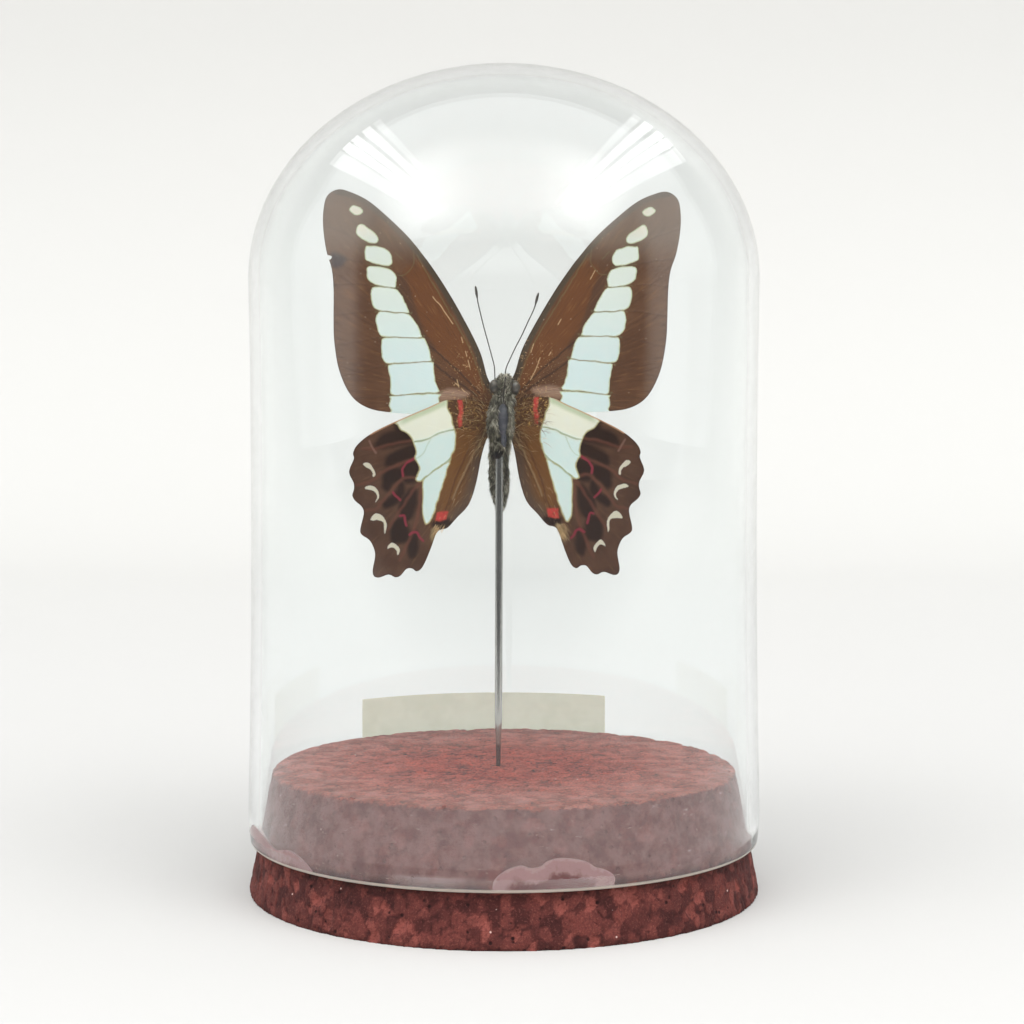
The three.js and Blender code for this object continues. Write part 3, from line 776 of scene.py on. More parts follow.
# %% Cut and mark the forewings
NOT_THERE = -9.0
forewing_outline = soft_line(FOREWING)
leading_edge = soft_line(FOREWING[:LEADING_POINTS])
FOREWING_HANG = {-1: dict(hinge=(0.6, 1.7, 0), sweep=5, turn=0),
                 1: dict(hinge=(1.13, 1.7, 0.88), sweep=10, turn=-0.12)}
wings = {}
for side, word in SIDES:
    skin = cut_skin("forewing_" + word + "_skin", forewing_outline, np.array(TEAR) if side < 0 else None)
    flat = flat_places(skin)
    wobble = np.array([[noise.noise(Vector((u / 1.3, v / 1.3, k + side * 3))) for k in (0, 9)] for u, v in flat])
    drawn = flat + 0.13 * wobble
    store(skin, "window", deepest(drawn, WINDOWS))
    store(skin, "between", between(drawn, WINDOWS))
    store_marks(skin, lambda shape: depth_in(drawn, soft_line(shape, closed=True))[0],
                {"field": INNER_FIELD, "band": DARK_BAND, "pale_base": PALE_BASE, "smudge": SMUDGE})
    if side > 0:
        store(skin, "smudge", np.full(len(flat), NOT_THERE))
    store_marks(skin, lambda shapes: nearest_line(drawn, shapes),
                {"main_vein": MAIN_VEINS, "thin_vein": THIN_VEINS, "outer_vein": OUTER_VEINS})
    store(skin, "scratch", nearest_line(flat, SCRATCHES[side]))
    store(skin, "leading", off_line(flat, leading_edge)[0])
    store(skin, "margin", depth_in(flat, forewing_outline)[0])
    store(skin, "out", flat[:, 0])
    store(skin, "up", flat[:, 1])
    lift_skin(skin, nearest_line(drawn, MAIN_VEINS + THIN_VEINS[:1] + OUTER_VEINS), seed=side * 2.7)
    store_fan(skin, (0, 1.5))
    hang(skin, side, **FOREWING_HANG[side])
    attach(skin, "root")
    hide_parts("forewing_" + word)
    wings["forewing_" + word] = skin
    print(skin.name, len(skin.data.polygons), "faces")

# %% [markdown]
# ## Scales on the forewings
# Wing scales are matt, with a faint silky gloss, and their rows make the edge of each mark
# slightly ragged. One fine noise is added to all distances before they are cut off, so that
# every edge is ragged in the same way. Streaks that run out from the hinge come from the fan
# shaped pattern map.

# %% Finish of the forewings
class WingFinish(Finish):
    """A finish that draws marks from the distances that are stored on a skin."""

    def __init__(self, name, color, **sockets):
        super().__init__(name, color, **sockets)
        grain = self.noise(3600, 3, 0.7)
        self.ragged = self.math("MULTIPLY", self.math("SUBTRACT", grain, 0.5), 0.3)
        fan = self.nodes.new("ShaderNodeTexCoord")
        mapping = self.nodes.new("ShaderNodeMapping")
        mapping.inputs["Scale"].default_value = (9, 150, 1)
        self.link(fan.outputs["UV"], mapping.inputs["Vector"])
        streaks = self.nodes.new("ShaderNodeTexNoise")
        self.link(mapping.outputs["Vector"], streaks.inputs["Vector"])
        streaks.inputs["Scale"].default_value = 1.0
        streaks.inputs["Detail"].default_value = 4
        streaks.inputs["Roughness"].default_value = 0.6
        self.streaks = streaks.outputs["Fac"]

    def shape(self, name, soft=0.07, grow=0.0, full=1.0):
        """How much a closed shape covers: 1 inside it, 0 outside."""
        value = self.math("ADD", self.attribute(name), self.ragged)
        return self.step(value, -grow - soft, -grow + soft, 0.0, full)

    def stroke(self, name, width, soft=0.1, full=1.0):
        """How much a line of a given width covers."""
        value = self.math("ADD", self.attribute(name), self.math("MULTIPLY", self.ragged, 0.5))
        return self.step(value, width / 2 - soft, width / 2 + soft, full, 0.0)


front = WingFinish("forewing scales", srgb(112, 78, 57), Roughness=0.62, Specular_IOR_Level=0.16, Sheen_Weight=0.04,
                   Sheen_Roughness=0.5)
blotch = front.noise(260, 3, 0.5)
front.first_coat(front.mix(front.step(blotch, 0.35, 0.7), srgb(100, 66, 43), srgb(113, 77, 52)))
# Painted reflection: the outer part of each forewing is painted paler for the veil that the glass's side lays over
# it.
front.paint(front.step(front.attribute("out"), 25.5, 27.5, 0.0, 0.55), srgb(132, 101, 78))
front.paint(front.shape("field", 0.9, 0.3, 0.9), srgb(116, 70, 36))
front.paint(front.shape("band", 0.5, 0.2, 0.85), srgb(88, 60, 43))
front.paint(front.step(front.streaks, 0.5, 0.72, 0.0, 0.5), srgb(82, 52, 33))
front.paint(front.step(front.streaks, 0.28, 0.45, 0.35, 0.0), srgb(164, 116, 70))
leading = front.math("ADD", front.attribute("leading"), front.math("MULTIPLY", front.ragged, 1.2))
front.paint(front.step(leading, 0.75, 1.35, 0.9, 0.0), srgb(78, 68, 54))
front.paint(front.stroke("outer_vein", 0.24, 0.14, 0.35), srgb(84, 60, 46))
front.paint(front.stroke("thin_vein", 0.2, 0.12, 0.6), srgb(122, 108, 70))
front.paint(front.stroke("main_vein", 0.3, 0.16, 0.85), srgb(66, 46, 34))
gold = front.math("MULTIPLY", front.shape("pale_base", 0.6, 0.0), front.step(front.streaks, 0.3, 0.7, 0.3, 0.7))
front.paint(gold, srgb(204, 168, 144))
front.paint(front.step(front.attribute("margin"), 0.0, 0.35, 0.55, 0.0), srgb(70, 52, 42))
front.paint(front.shape("smudge", 0.6, 0.1, 0.8), srgb(64, 58, 62))
# Painted reflection: the forewing tips are painted paler for the haze of the ceiling lights' reflection on the glass
# above them.
front.paint(front.step(front.attribute("up"), 25, 33, 0.0, 0.4), srgb(172, 158, 144))
near_hinge = front.math("MULTIPLY", front.step(front.attribute("out"), 5, 12, 0.9, 0.0),
                        front.step(front.attribute("up"), 6, 15, 1.0, 0.0))
flecks = front.step(front.noise(2400, 2, 0.8), 0.62, 0.67)
front.paint(front.math("MULTIPLY", near_hinge, flecks), srgb(226, 182, 128))
front.paint(front.step(front.cells(620), 0.05, 0.1, 0.45, 0.0), srgb(206, 178, 150))
glaze = front.mix(front.step(front.attribute("up"), 6, 26), srgb(230, 248, 246), srgb(242, 249, 238))
glaze = front.mix(front.step(front.attribute("up"), 30, 34), glaze, srgb(248, 242, 224))
glaze = front.mix(front.step(front.noise(900, 3, 0.6), 0.4, 0.75, 0.0, 0.35), glaze, srgb(246, 251, 247))
front.paint(front.shape("window", 0.08, 0.07), srgb(210, 218, 180))
front.paint(front.shape("window", 0.1, -0.1), glaze)
front.paint(front.stroke("between", 0.22, 0.1, 0.75), srgb(116, 104, 72))
front.paint(front.stroke("scratch", 0.16, 0.09, 0.9), srgb(226, 190, 140))
front.color(front.tone)
front.bump(front.math("ADD", front.noise(5200, 2, 0.6), front.math("MULTIPLY", front.streaks, 1.4)), 0.03 * MM, 0.5)
for word in ("left", "right"):
    front.on(wings["forewing_" + word])

# %% [markdown]
# ## The hindwings
# The hindwings lie in front of the forewings, as the insect is seen from below. A cream and
# aqua band crosses each of them, with red marks beside it, and pale crescents follow the
# scalloped margin.

# %% Shapes of a hindwing
HINDWING = [(0, 4.6), (4.0, 5.6), (9.2, 5.5), (12.6, 4.1), (16.3, 2.5), (20.0, 0.8), (23.2, -0.9), (25.6, -2.9),
            (26.4, -4.5), (26.2, -5.5), (27.1, -7.9), (26.2, -9.9), (26.1, -11.1), (26.4, -12.2), (25.9, -13.2),
            (24.6, -14.3), (24.2, -15.6), (24.8, -18.4), (24.5, -19.5), (23.0, -20.5), (22.1, -22.3), (22.0, -23.7),
            (22.4, -26.0), (22.1, -27.1), (21.1, -27.3), (19.4, -26.7), (18.1, -27.2), (17.1, -26.8), (16.1, -25.6),
            (15.0, -25.5), (14.2, -26.0), (13.1, -25.2), (11.8, -22.2), (10.8, -19.3), (10.0, -18.3), (8.6, -17.9),
            (6.8, -15.9), (4.7, -13.5), (3.4, -9.5), (2.5, -4.6), (1.5, -1.3), (0, -0.6)]
PALE = [[(18.1, 1.6), (18.1, 0.9), (17.4, 0.0), (16.3, -0.6), (15.5, -1.4), (15.1, -2.1), (14.7, -3.3), (14.6, -4.2),
         (14.8, -5.1), (14.4, -5.7), (14.0, -6.5), (13.9, -7.2), (14.3, -8.3), (14.5, -9.2), (13.8, -9.4),
         (12.4, -8.4), (11.1, -7.3), (9.7, -6.3), (8.5, -5.7), (8.0, -4.5), (7.5, -3.1), (7.3, -1.5), (7.4, -0.4),
         (7.9, 1.0), (8.2, 2.4), (8.7, 3.5), (9.1, 4.4), (9.4, 6.4), (13.4, 5.0)],
        [(13.3, -9.5), (13.2, -12.0), (13.3, -14.3), (13.1, -16.1), (12.8, -16.9), (12.5, -17.3), (12.0, -16.9),
         (11.4, -15.6), (10.7, -13.6), (10.1, -11.5), (9.4, -9.2), (8.8, -7.1), (8.5, -5.8), (10.0, -6.6),
         (12.3, -8.2)]]
CREAM = [(18.8, 2.4), (18.4, 0.4), (16.3, -1.4), (14.9, -2.2), (12.5, -1.6), (10.2, -0.5), (7.9, 0.1), (7.0, 1.0),
         (8.6, 6.6), (13.4, 5.6)]
BAND_VEINS = [[(14.8, -2.2), (12.5, -1.6), (10.2, -0.5), (7.9, 0.1), (5.6, 0.7), (3.7, 1.1)],
              [(13.8, -9.5), (12.4, -8.4), (11.1, -7.3), (9.7, -6.3), (8.3, -5.2), (6.5, -3.4), (3.8, -1.0),
               (2.2, 0.4)]]
FAINT_VEINS = [[(11.9, -1.5), (12.5, -2.8), (13.2, -4.2), (13.9, -4.9), (14.8, -5.3)]]
OUT_VEINS = [[(22.1, -3.6), (18.5, -2.5), (15.0, -1.9)], [(21.2, -8.1), (18.5, -6.7), (14.8, -5.2)],
             [(20.8, -13.4), (17.0, -9.0), (14.2, -9.0)], [(19.6, -18.4), (15.6, -12.0), (13.8, -9.6)],
             [(17.4, -24.0), (14.4, -17.0), (13.6, -10.4)], [(24.6, -3.6), (22.1, -3.6)],
             [(25.6, -10.4), (22.6, -9.4), (21.2, -8.1)], [(23.8, -15.0), (21.8, -14.6), (20.8, -13.4)]]
INNER_VEINS = [[(2.0, 1.1), (4.7, -3.2), (7.3, -9.1), (8.7, -13.7), (10.0, -16.5)],
               [(2.1, 0.5), (3.5, -3.5), (5.0, -7.2), (6.9, -11.0), (8.4, -13.7)],
               [(2.5, 2.0), (2.4, 3.8), (3.3, 5.3), (5.2, 5.8)]]
RED_STRIPE = [(7.2, 5.8), (6.0, 5.8), (5.9, 3.4), (6.1, 0.8), (6.9, 0.4), (7.1, 2.2), (6.8, 3.6)]
RED_SQUARE = [(10.7, -14.9), (8.4, -14.7), (8.7, -16.5), (10.0, -16.8), (11.0, -16.8)]
BASE_DARK = [(9.0, 6.2), (2.2, 6.2), (1.8, 3.5), (2.5, 0.5), (5.4, 0.5), (7.8, 0.3), (8.3, 2.8)]
DARK_PATCHES = [
    [(18.0, 1.0), (15.0, -2.1), (15.8, -2.4), (17.6, -2.7), (21.8, -3.4), (21.8, -2.4), (20.9, -1.3), (18.6, -0.3)],
    [(15.1, -2.8), (14.6, -4.2), (14.8, -5.2), (16.2, -5.7), (18.3, -6.2), (19.9, -6.6), (20.0, -5.6), (19.2, -4.7),
     (17.6, -3.9)],
    [(16.9, -6.5), (14.0, -6.0), (13.9, -7.4), (14.5, -9.2), (15.7, -9.6), (16.8, -9.4), (16.7, -7.9)],
    [(19.9, -7.7), (17.3, -7.2), (17.4, -8.8), (18.9, -9.8), (19.8, -11.0), (20.5, -10.7), (20.5, -9.1)],
    [(20.2, -13.4), (18.4, -12.1), (17.3, -9.8), (16.9, -11.7), (18.7, -13.6), (20.2, -14.3)],
    [(17.3, -13.5), (15.8, -11.5), (14.7, -10.9), (14.7, -14.2), (15.6, -16.1), (16.3, -16.5), (17.2, -15.7)],
    [(18.3, -16.9), (16.5, -16.6), (16.0, -18.5), (16.2, -20.3), (18.3, -20.7), (18.8, -19.5)],
    [(15.7, -19.2), (14.4, -19.0), (14.3, -22.5), (15.3, -23.3), (15.7, -21.2)],
    [(11.0, -16.9), (10.0, -16.8), (8.5, -16.5), (8.0, -17.2), (8.9, -18.0), (10.9, -17.6)]]
CRIMSON = [[(14.8, -5.2), (16.2, -6.1), (16.6, -6.5), (17.1, -7.4), (17.0, -8.5)],
           [(18.8, -11.6), (18.2, -12.3), (17.5, -12.9)],
           [(17.4, -15.9), (16.7, -15.8), (16.5, -16.6), (16.2, -17.6)],
           [(15.6, -19.3), (14.8, -18.8), (14.1, -19.0), (13.6, -19.9), (13.1, -20.4)]]
LUNULES = [[(24.5, -6.4), (23.8, -6.1), (23.0, -6.6), (22.4, -7.5), (22.2, -8.4), (22.6, -8.8), (22.7, -8.0),
            (23.2, -7.3), (24.1, -6.9)],
           [(24.1, -10.9), (23.2, -10.4), (22.1, -10.8), (21.4, -11.7), (21.4, -12.6), (22.0, -13.5), (21.7, -12.4),
            (22.0, -11.7), (23.1, -11.2)],
           [(22.9, -16.8), (22.5, -15.9), (21.8, -15.5), (20.7, -16.0), (20.1, -17.0), (20.0, -18.1), (20.2, -19.3),
            (20.4, -18.1), (20.6, -17.0), (21.6, -16.7)],
           [(19.7, -22.0), (19.4, -21.2), (18.7, -20.8), (17.8, -21.5), (17.4, -22.3), (17.7, -23.1), (17.9, -22.4),
            (18.5, -21.7), (19.2, -21.7)]]
FAINT_LUNULE = [[(23.4, -2.2), (22.7, -3.4), (22.1, -4.4)]]
TUFT = [(11.8, -18.4), (10.2, -17.7), (10.4, -19.1), (11.5, -20.6)]
MARGIN_STREAK = [[(1.6, 1.2), (2.6, -1.6), (4.6, -5.4), (6.4, -9.4), (7.7, -12.6)]]

# %% Cut and mark the hindwings
hindwing_outline = soft_line(HINDWING, steps=3)
HINDWING_HANG = {-1: dict(hinge=(0.6, 0.9, -4), sweep=4, turn=0),
                 1: dict(hinge=(0.47, 0.9, -3.31), sweep=10, turn=0.78)}
HINDWING_LEADING, HINDWING_INNER = HINDWING[:7], HINDWING[33:]
for side, word in SIDES:
    skin = cut_skin("hindwing_" + word + "_skin", hindwing_outline)
    flat = flat_places(skin)
    wobble = np.array([[noise.noise(Vector((u / 1.3, v / 1.3, k + side * 4))) for k in (20, 29)] for u, v in flat])
    drawn = flat + 0.16 * wobble
    store_marks(skin, lambda shapes: deepest(drawn, shapes),
                {"pale": PALE, "patch": DARK_PATCHES, "lunule": LUNULES})
    store_marks(skin, lambda shape: depth_in(drawn, soft_line(shape, closed=True))[0],
                {"base_dark": BASE_DARK, "tuft": TUFT})
    store_marks(skin, lambda shapes: np.max([depth_in(drawn, np.array(shape))[0] for shape in shapes], axis=0),
                {"cream": [CREAM], "red": [RED_SQUARE, RED_STRIPE]})
    store_marks(skin, lambda shapes: nearest_line(drawn, shapes),
                {"crimson": CRIMSON, "band_vein": BAND_VEINS, "faint_vein": FAINT_VEINS, "out_vein": OUT_VEINS,
                 "faint_lunule": FAINT_LUNULE, "inner_vein": INNER_VEINS, "streak": MARGIN_STREAK})
    store_marks(skin, lambda line: off_line(flat, soft_line(line))[0],
                {"leading": HINDWING_LEADING, "inward": HINDWING_INNER})
    store(skin, "margin", depth_in(flat, hindwing_outline)[0])
    store(skin, "out", flat[:, 0])
    store(skin, "up", flat[:, 1])
    lift_skin(skin, nearest_line(drawn, BAND_VEINS + OUT_VEINS + INNER_VEINS), seed=side * 3.9)
    store_fan(skin, (0, 2.0))
    hang(skin, side, **HINDWING_HANG[side])
    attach(skin, "root")
    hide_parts("hindwing_" + word)
    wings["hindwing_" + word] = skin
    print(skin.name, len(skin.data.polygons), "faces")

# %% Finish of the hindwings
rear = WingFinish("hindwing scales", srgb(98, 68, 50), Roughness=0.62, Specular_IOR_Level=0.16, Sheen_Weight=0.04,
                  Sheen_Roughness=0.5)
blotch = rear.noise(300, 3, 0.5)
rear.first_coat(rear.mix(rear.step(blotch, 0.35, 0.7), srgb(88, 60, 44), srgb(99, 69, 52)))
past_band = rear.step(rear.attribute("out"), 9.0, 13.0, 1.0, 0.0)
rear.paint(past_band, srgb(122, 81, 43))
inner_strip = rear.step(rear.attribute("inward"), 0.4, 3.2, 1.0, 0.0)
rear.paint(rear.math("MULTIPLY", inner_strip, past_band), srgb(96, 76, 62))
rear.paint(rear.step(rear.streaks, 0.5, 0.75, 0.0, 0.4), srgb(76, 50, 36))
rear.paint(rear.step(rear.streaks, 0.28, 0.45, 0.25, 0.0), srgb(150, 112, 76))
rear.paint(rear.shape("patch", 0.55, 0.35, 0.95), srgb(46, 27, 17))
rear.paint(rear.stroke("out_vein", 0.5, 0.3, 0.6), srgb(122, 74, 58))
rear.paint(rear.stroke("inner_vein", 0.24, 0.14, 0.7), srgb(72, 48, 32))
rear.paint(rear.stroke("streak", 0.25, 0.2, 0.55), srgb(186, 160, 120))
rear.paint(rear.shape("base_dark", 0.3, 0.1, 0.85), srgb(84, 55, 33))
golden = rear.math("MULTIPLY", rear.shape("base_dark", 0.3, 0.3), rear.step(rear.noise(2500, 3, 0.75), 0.56, 0.64))
rear.paint(golden, srgb(206, 164, 96))
red_cover = rear.shape("red", 0.2, -0.1)
rear.paint(rear.math("MULTIPLY", red_cover, rear.step(rear.noise(1500, 2, 0.6), 0.3, 0.5, 0.55, 1.0)),
           srgb(208, 74, 66))
rear.paint(rear.math("MULTIPLY", rear.math("MULTIPLY", rear.shape("red", 0.2), golden), 0.8), srgb(220, 150, 110))
rear.paint(rear.stroke("crimson", 0.44, 0.14, 0.9), srgb(152, 54, 68))
rear.paint(rear.shape("lunule", 0.09, 0.02), srgb(232, 226, 204))
rear.paint(rear.stroke("faint_lunule", 0.3, 0.2, 0.5), srgb(176, 130, 116))
rear.paint(rear.shape("tuft", 0.3, -0.1, 0.5), srgb(196, 174, 128))
rear.paint(rear.step(rear.attribute("margin"), 0.0, 0.3, 0.5, 0.0), srgb(60, 44, 38))
pale = rear.mix(rear.shape("cream", 0.9, 0.0), srgb(230, 249, 244), srgb(250, 250, 230))
pale = rear.mix(rear.step(rear.noise(900, 3, 0.6), 0.4, 0.75, 0.0, 0.3), pale, srgb(247, 251, 242))
rear.paint(rear.shape("pale", 0.12, 0.14), srgb(196, 186, 132))
rear.paint(rear.shape("pale", 0.14, -0.08), pale)
# Painted light: a pale green strip along the leading edge, for the forewing's pale windows showing through the thin
# hindwing where it lies over them.
painted_show_through = rear.math("MULTIPLY", rear.step(rear.attribute("leading"), 0.5, 1.5, 0.8, 0.0),
                     rear.step(rear.attribute("out"), 8.6, 9.6))
painted_show_through = rear.math("MULTIPLY", painted_show_through, rear.step(rear.attribute("out"), 16.5, 18.5, 1.0, 0.0))
rear.paint(painted_show_through, srgb(196, 210, 170))
in_band = rear.shape("pale", 0.1, 0.0)
rear.paint(rear.math("MULTIPLY", rear.stroke("band_vein", 0.26, 0.12, 0.85), in_band), srgb(142, 160, 104))
rear.paint(rear.math("MULTIPLY", rear.stroke("faint_vein", 0.2, 0.12, 0.5), in_band), srgb(160, 182, 130))
edge_line = rear.math("MULTIPLY", rear.step(rear.attribute("leading"), 0.12, 0.34, 0.75, 0.0),
                     rear.step(rear.attribute("out"), 9.0, 11.0))
rear.paint(edge_line, srgb(206, 156, 116))
rear.color(rear.tone)
rear.bump(rear.math("ADD", rear.noise(5200, 2, 0.6), rear.math("MULTIPLY", rear.streaks, 1.4)), 0.03 * MM, 0.5)
for word in ("left", "right"):
    rear.on(wings["hindwing_" + word])

# %% [markdown]
# ## The insect's body
# Head, thorax, folded legs and abdomen are one grown piece. Each part starts as a plain
# primitive at its place in the insect, and all are joined and remeshed into one closed skin,
# which is how a clay modeller works: lumps first, then one surface. Low noise wrinkles the
# skin, and shallow rings mark the joints of the abdomen. The eyes, the feeding tube and the
# chest plate stay apart, because they are smooth.

# %% Lumps and tubes
def add_ball(centre, radii, rings=24):
    """A ball stretched to three radii, in millimetres of the insect's own frame."""
    bpy.ops.object.select_all(action="DESELECT")
    bpy.ops.mesh.primitive_uv_sphere_add(segments=2 * rings, ring_count=rings, radius=1,
                                         location=[c * MM for c in centre])
    ball = rename("lump")
    ball.scale = [r * MM for r in radii]
    apply_place(ball)
    return ball


def add_tube(name, points, radii, sides=2):
    """A round tube along some points, with a radius for each of them, all in millimetres."""
    line = bpy.data.curves.new(name, "CURVE")
    line.dimensions = "3D"
    line.bevel_depth = MM
    line.bevel_resolution = sides
    line.use_fill_caps = True
    spline = line.splines.new("POLY")
    spline.points.add(len(points) - 1)
    for point, place, radius in zip(spline.points, points, radii):
        point.co = (*(c * MM for c in place), 1)
        point.radius = radius
    tube = bpy.data.objects.new(name, line)
    bpy.context.collection.objects.link(tube)
    select_only(tube)
    bpy.ops.object.convert(target="MESH")
    return tube


def join(name, pieces):
    select_only(pieces[0])
    for piece in pieces[1:]:
        piece.select_set(True)
    bpy.ops.object.join()
    return rename(name)


# %% Model the body
LEG_RADIUS = 0.32
LEGS = [[(2.0, -1.5, 2.4), (2.15, -1.9, -0.6), (2.0, -1.8, -3.6)],
        [(1.6, -2.0, 1.2), (1.9, -2.4, -1.8), (1.5, -2.3, -4.8)],
        [(2.1, -1.4, -2.0), (1.95, -1.6, -4.6), (1.6, -1.2, -7.0)],
        [(-0.9, -1.6, 2.2), (-1.3, -1.9, -0.6), (-1.0, -1.9, -3.4)],
        [(-0.4, -2.2, 0.6), (-0.7, -2.4, -2.0), (-0.3, -2.3, -4.8)],
        [(-1.4, -1.2, -2.2), (-1.2, -1.5, -4.6), (-0.8, -1.2, -7.0)]]
# A foot, or a flap of skin, that lies across the chest just above the needle.
ACROSS = [(-0.6, -1.9, -6.0), (0.5, -2.0, -6.9), (1.6, -1.6, -7.9)]
ABDOMEN = [(-7.6, 1.5), (-8.6, 1.62), (-9.6, 1.66), (-10.4, 1.7), (-12.2, 1.8), (-14, 1.7), (-15.6, 1.45),
           (-17, 1.05), (-18, 0.7), (-18.6, 0.25)]
WRINKLE_HEIGHT = 0.13
RINGS_FROM = -9.5
RING_STEP = 1.75
RING_DEPTH = 0.16


def abdomen_middle(z):
    """The abdomen hangs slightly to one side and behind the needle."""
    return (-0.35 - 0.045 * z, 1.65 - 0.03 * z, z)


lumps = [add_ball((0.3, 0.5, -2.0), (2.3, 2.5, 5.0)), add_ball((0.25, 0.4, -6.6), (1.65, 2.1, 2.7)),
         add_ball((0.95, 0.1, 4.1), (1.9, 1.7, 2.0)), add_ball((0.35, -1.25, 4.7), (0.6, 0.65, 1.75)),
         add_ball((1.55, -1.25, 4.6), (0.6, 0.65, 1.75)), add_ball((0.95, 0.1, 2.0), (1.9, 1.7, 1.5))]
lumps += [add_tube("leg", soft_line(leg), [LEG_RADIUS] * 11) for leg in LEGS + [ACROSS]]
lumps.append(add_tube("abdomen", [abdomen_middle(z) for z, _ in ABDOMEN], [r for _, r in ABDOMEN], sides=6))
body = join("body", lumps)
apply_modifier(body, "REMESH", mode="VOXEL", voxel_size=0.17 * MM)
apply_modifier(body, "SMOOTH", factor=0.6, iterations=3)
places = positions(body)
normals = np.empty(len(places) * 3)
body.data.vertex_normals.foreach_get("vector", normals)
normals = normals.reshape(-1, 3)
wrinkles = np.array([noise.noise(Vector(p) / (0.8 * MM)) for p in places])
height = places[:, 2] / MM
rings = np.where(height < RINGS_FROM, np.exp(-(((height - RINGS_FROM) % RING_STEP - 0.9) / 0.22) ** 2), 0)
move_to(body, places + normals * (wrinkles * WRINKLE_HEIGHT - rings * RING_DEPTH)[:, None] * MM)
body.data.transform(INSECT)
smooth(body, 70)
print("body faces:", len(body.data.polygons))

# %% Eyes, feeding tube, chest plate, and the dark lump at the needle: damaged skin and painted shade of its pit
def small_piece(name, pieces):
    """Join small lumps into a piece of the body and put it in its place."""
    piece = join(name, pieces)
    piece.data.transform(INSECT)
    smooth(piece, 70)
    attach(piece, "root")
    return piece


EYE = (1.05, 1.15, 1.35)
TONGUE_RADIUS = 0.13
eyes = small_piece("eyes", [add_ball((-0.85, -0.25, 4.1), EYE), add_ball((2.75, -0.25, 4.0), EYE)])
tongue_line = soft_line([(1.1, -1.7, 5.9), (0.95, -2.05, 4.2), (0.72, -2.2, 1.8), (1.2, -2.35, 0.8),
                         (1.65, -2.35, 0.1)])
tongue = small_piece("feeding_tube", [add_tube("tongue", tongue_line, [TONGUE_RADIUS] * len(tongue_line))])
plate = small_piece("chest_plate", [add_ball((0.75, -1.75, -2.0), (1.15, 0.85, 3.0)),
                                    add_ball((0.95, -1.6, -5.4), (0.55, 0.7, 1.9))])
# The dark lump where the needle goes in is damaged skin. Its near-black colour is also painted shade, put where the
# pit in the skin would lie in shadow.
bruise_and_pit_shade = small_piece("needle_bruise_and_pit_shade", [add_ball((0.05, -0.85, -8.2), (0.75, 1.0, 1.3))])

# %% [markdown]
# ## Hair
# Nearly all of the body is furred. Hair is made as mesh: each one is a thin three-sided spike that
# bends once, rooted on the skin. Where they grow, how long they are, which way they lie and
# how pale they are come from a seeded table, so that every run grows the same coat. They are
# all one piece, because thousands of separate objects would be slow to handle.

# %% Grow hair on a skin
HAIR_POINTS = 7
HAIR_FACES = [(0, 1, 4, 3), (1, 2, 5, 4), (2, 0, 3, 5), (3, 4, 6), (4, 5, 6), (5, 3, 6), (2, 1, 0)]


def spread(obj, count, seed):
    """Seeded random places on a mesh, even by area, with the normal at each."""
    draw = np.random.default_rng(seed)
    obj.data.calc_loop_triangles()
    corners = np.empty(len(obj.data.loop_triangles) * 3, dtype=np.int32)
    obj.data.loop_triangles.foreach_get("vertices", corners)
    a, b, c = positions(obj)[corners.reshape(-1, 3)].transpose(1, 0, 2)
    cross = np.cross(b - a, c - a)
    area = np.linalg.norm(cross, axis=1)
    pick = draw.choice(len(area), count, p=area / area.sum())
    s, t = np.sqrt(draw.random(count)), draw.random(count)
    spots = a[pick] * (1 - s)[:, None] + b[pick] * (s * (1 - t))[:, None] + c[pick] * (s * t)[:, None]
    return spots, cross[pick] / np.maximum(area[pick], 1e-15)[:, None], draw


def grow(name, roots, leans, lengths, thickness, tints):
    """One mesh of three-sided hairs that leave their roots and bend down once."""
    count = len(roots)
    leans = leans / np.linalg.norm(leans, axis=1, keepdims=True)
    side = np.cross(leans, np.where(abs(leans[:, 2:]) < 0.9, (0, 0, 1), (1, 0, 0)))
    side /= np.linalg.norm(side, axis=1, keepdims=True)
    across = np.cross(leans, side)
    middle = roots + leans * lengths[:, None] * 0.55
    tip = middle + (leans + (0, 0, -0.45)) * lengths[:, None] * 0.45
    corners = []
    for centre, width in ((roots - leans * 0.05 * MM, 1.0), (middle, 0.75)):
        for turn in (0, math.tau / 3, 2 * math.tau / 3):
            corners.append(centre + (side * math.cos(turn) + across * math.sin(turn)) * thickness[:, None] * width)
    corners.append(tip)
    points = np.stack(corners, axis=1).reshape(-1, 3)
    faces = [tuple(HAIR_POINTS * i + k for k in face) for i in range(count) for face in HAIR_FACES]
    mesh = bpy.data.meshes.new(name)
    mesh.from_pydata(points.tolist(), [], faces)
    hair = bpy.data.objects.new(name, mesh)
    bpy.context.collection.objects.link(hair)
    store(hair, "tint", np.repeat(tints, HAIR_POINTS))
    face_outwards(hair)
    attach(hair, "root")
    return hair


# %% Comb the body's coat
roots, outward, draw = spread(body, 15000, 5)
local = (roots - np.array(INSECT_PLACE)) / MM
on_abdomen = local[:, 2] < -9
on_head = local[:, 2] > 2.2
bare = (local[:, 1] < -1.3) & (abs(local[:, 0] - 0.75) < 1.0) & (local[:, 2] < 0.9) & (local[:, 2] > -6.6)
near_needle = (local[:, 1] < 0.3) & (abs(local[:, 0] + 0.1) < 0.95) & (local[:, 2] < -7.2)
from_eye = (abs(local[:, 0] - 0.95) - 1.85) ** 2 + ((local[:, 2] - 4.0) / 1.3) ** 2
over_eye = (from_eye < 1) & (local[:, 1] < 0.4)
palps = (abs(local[:, 0] - 0.95) < 0.75) & (local[:, 2] > 2.4) & (local[:, 1] < 0.2)
keep = ~(bare | near_needle | over_eye)
palps = palps[keep]
roots, outward, on_abdomen, on_head = roots[keep], outward[keep], on_abdomen[keep], on_head[keep]
down = np.where(on_head[:, None], (0, -0.1, 0.5), (0, 0, -1.1))
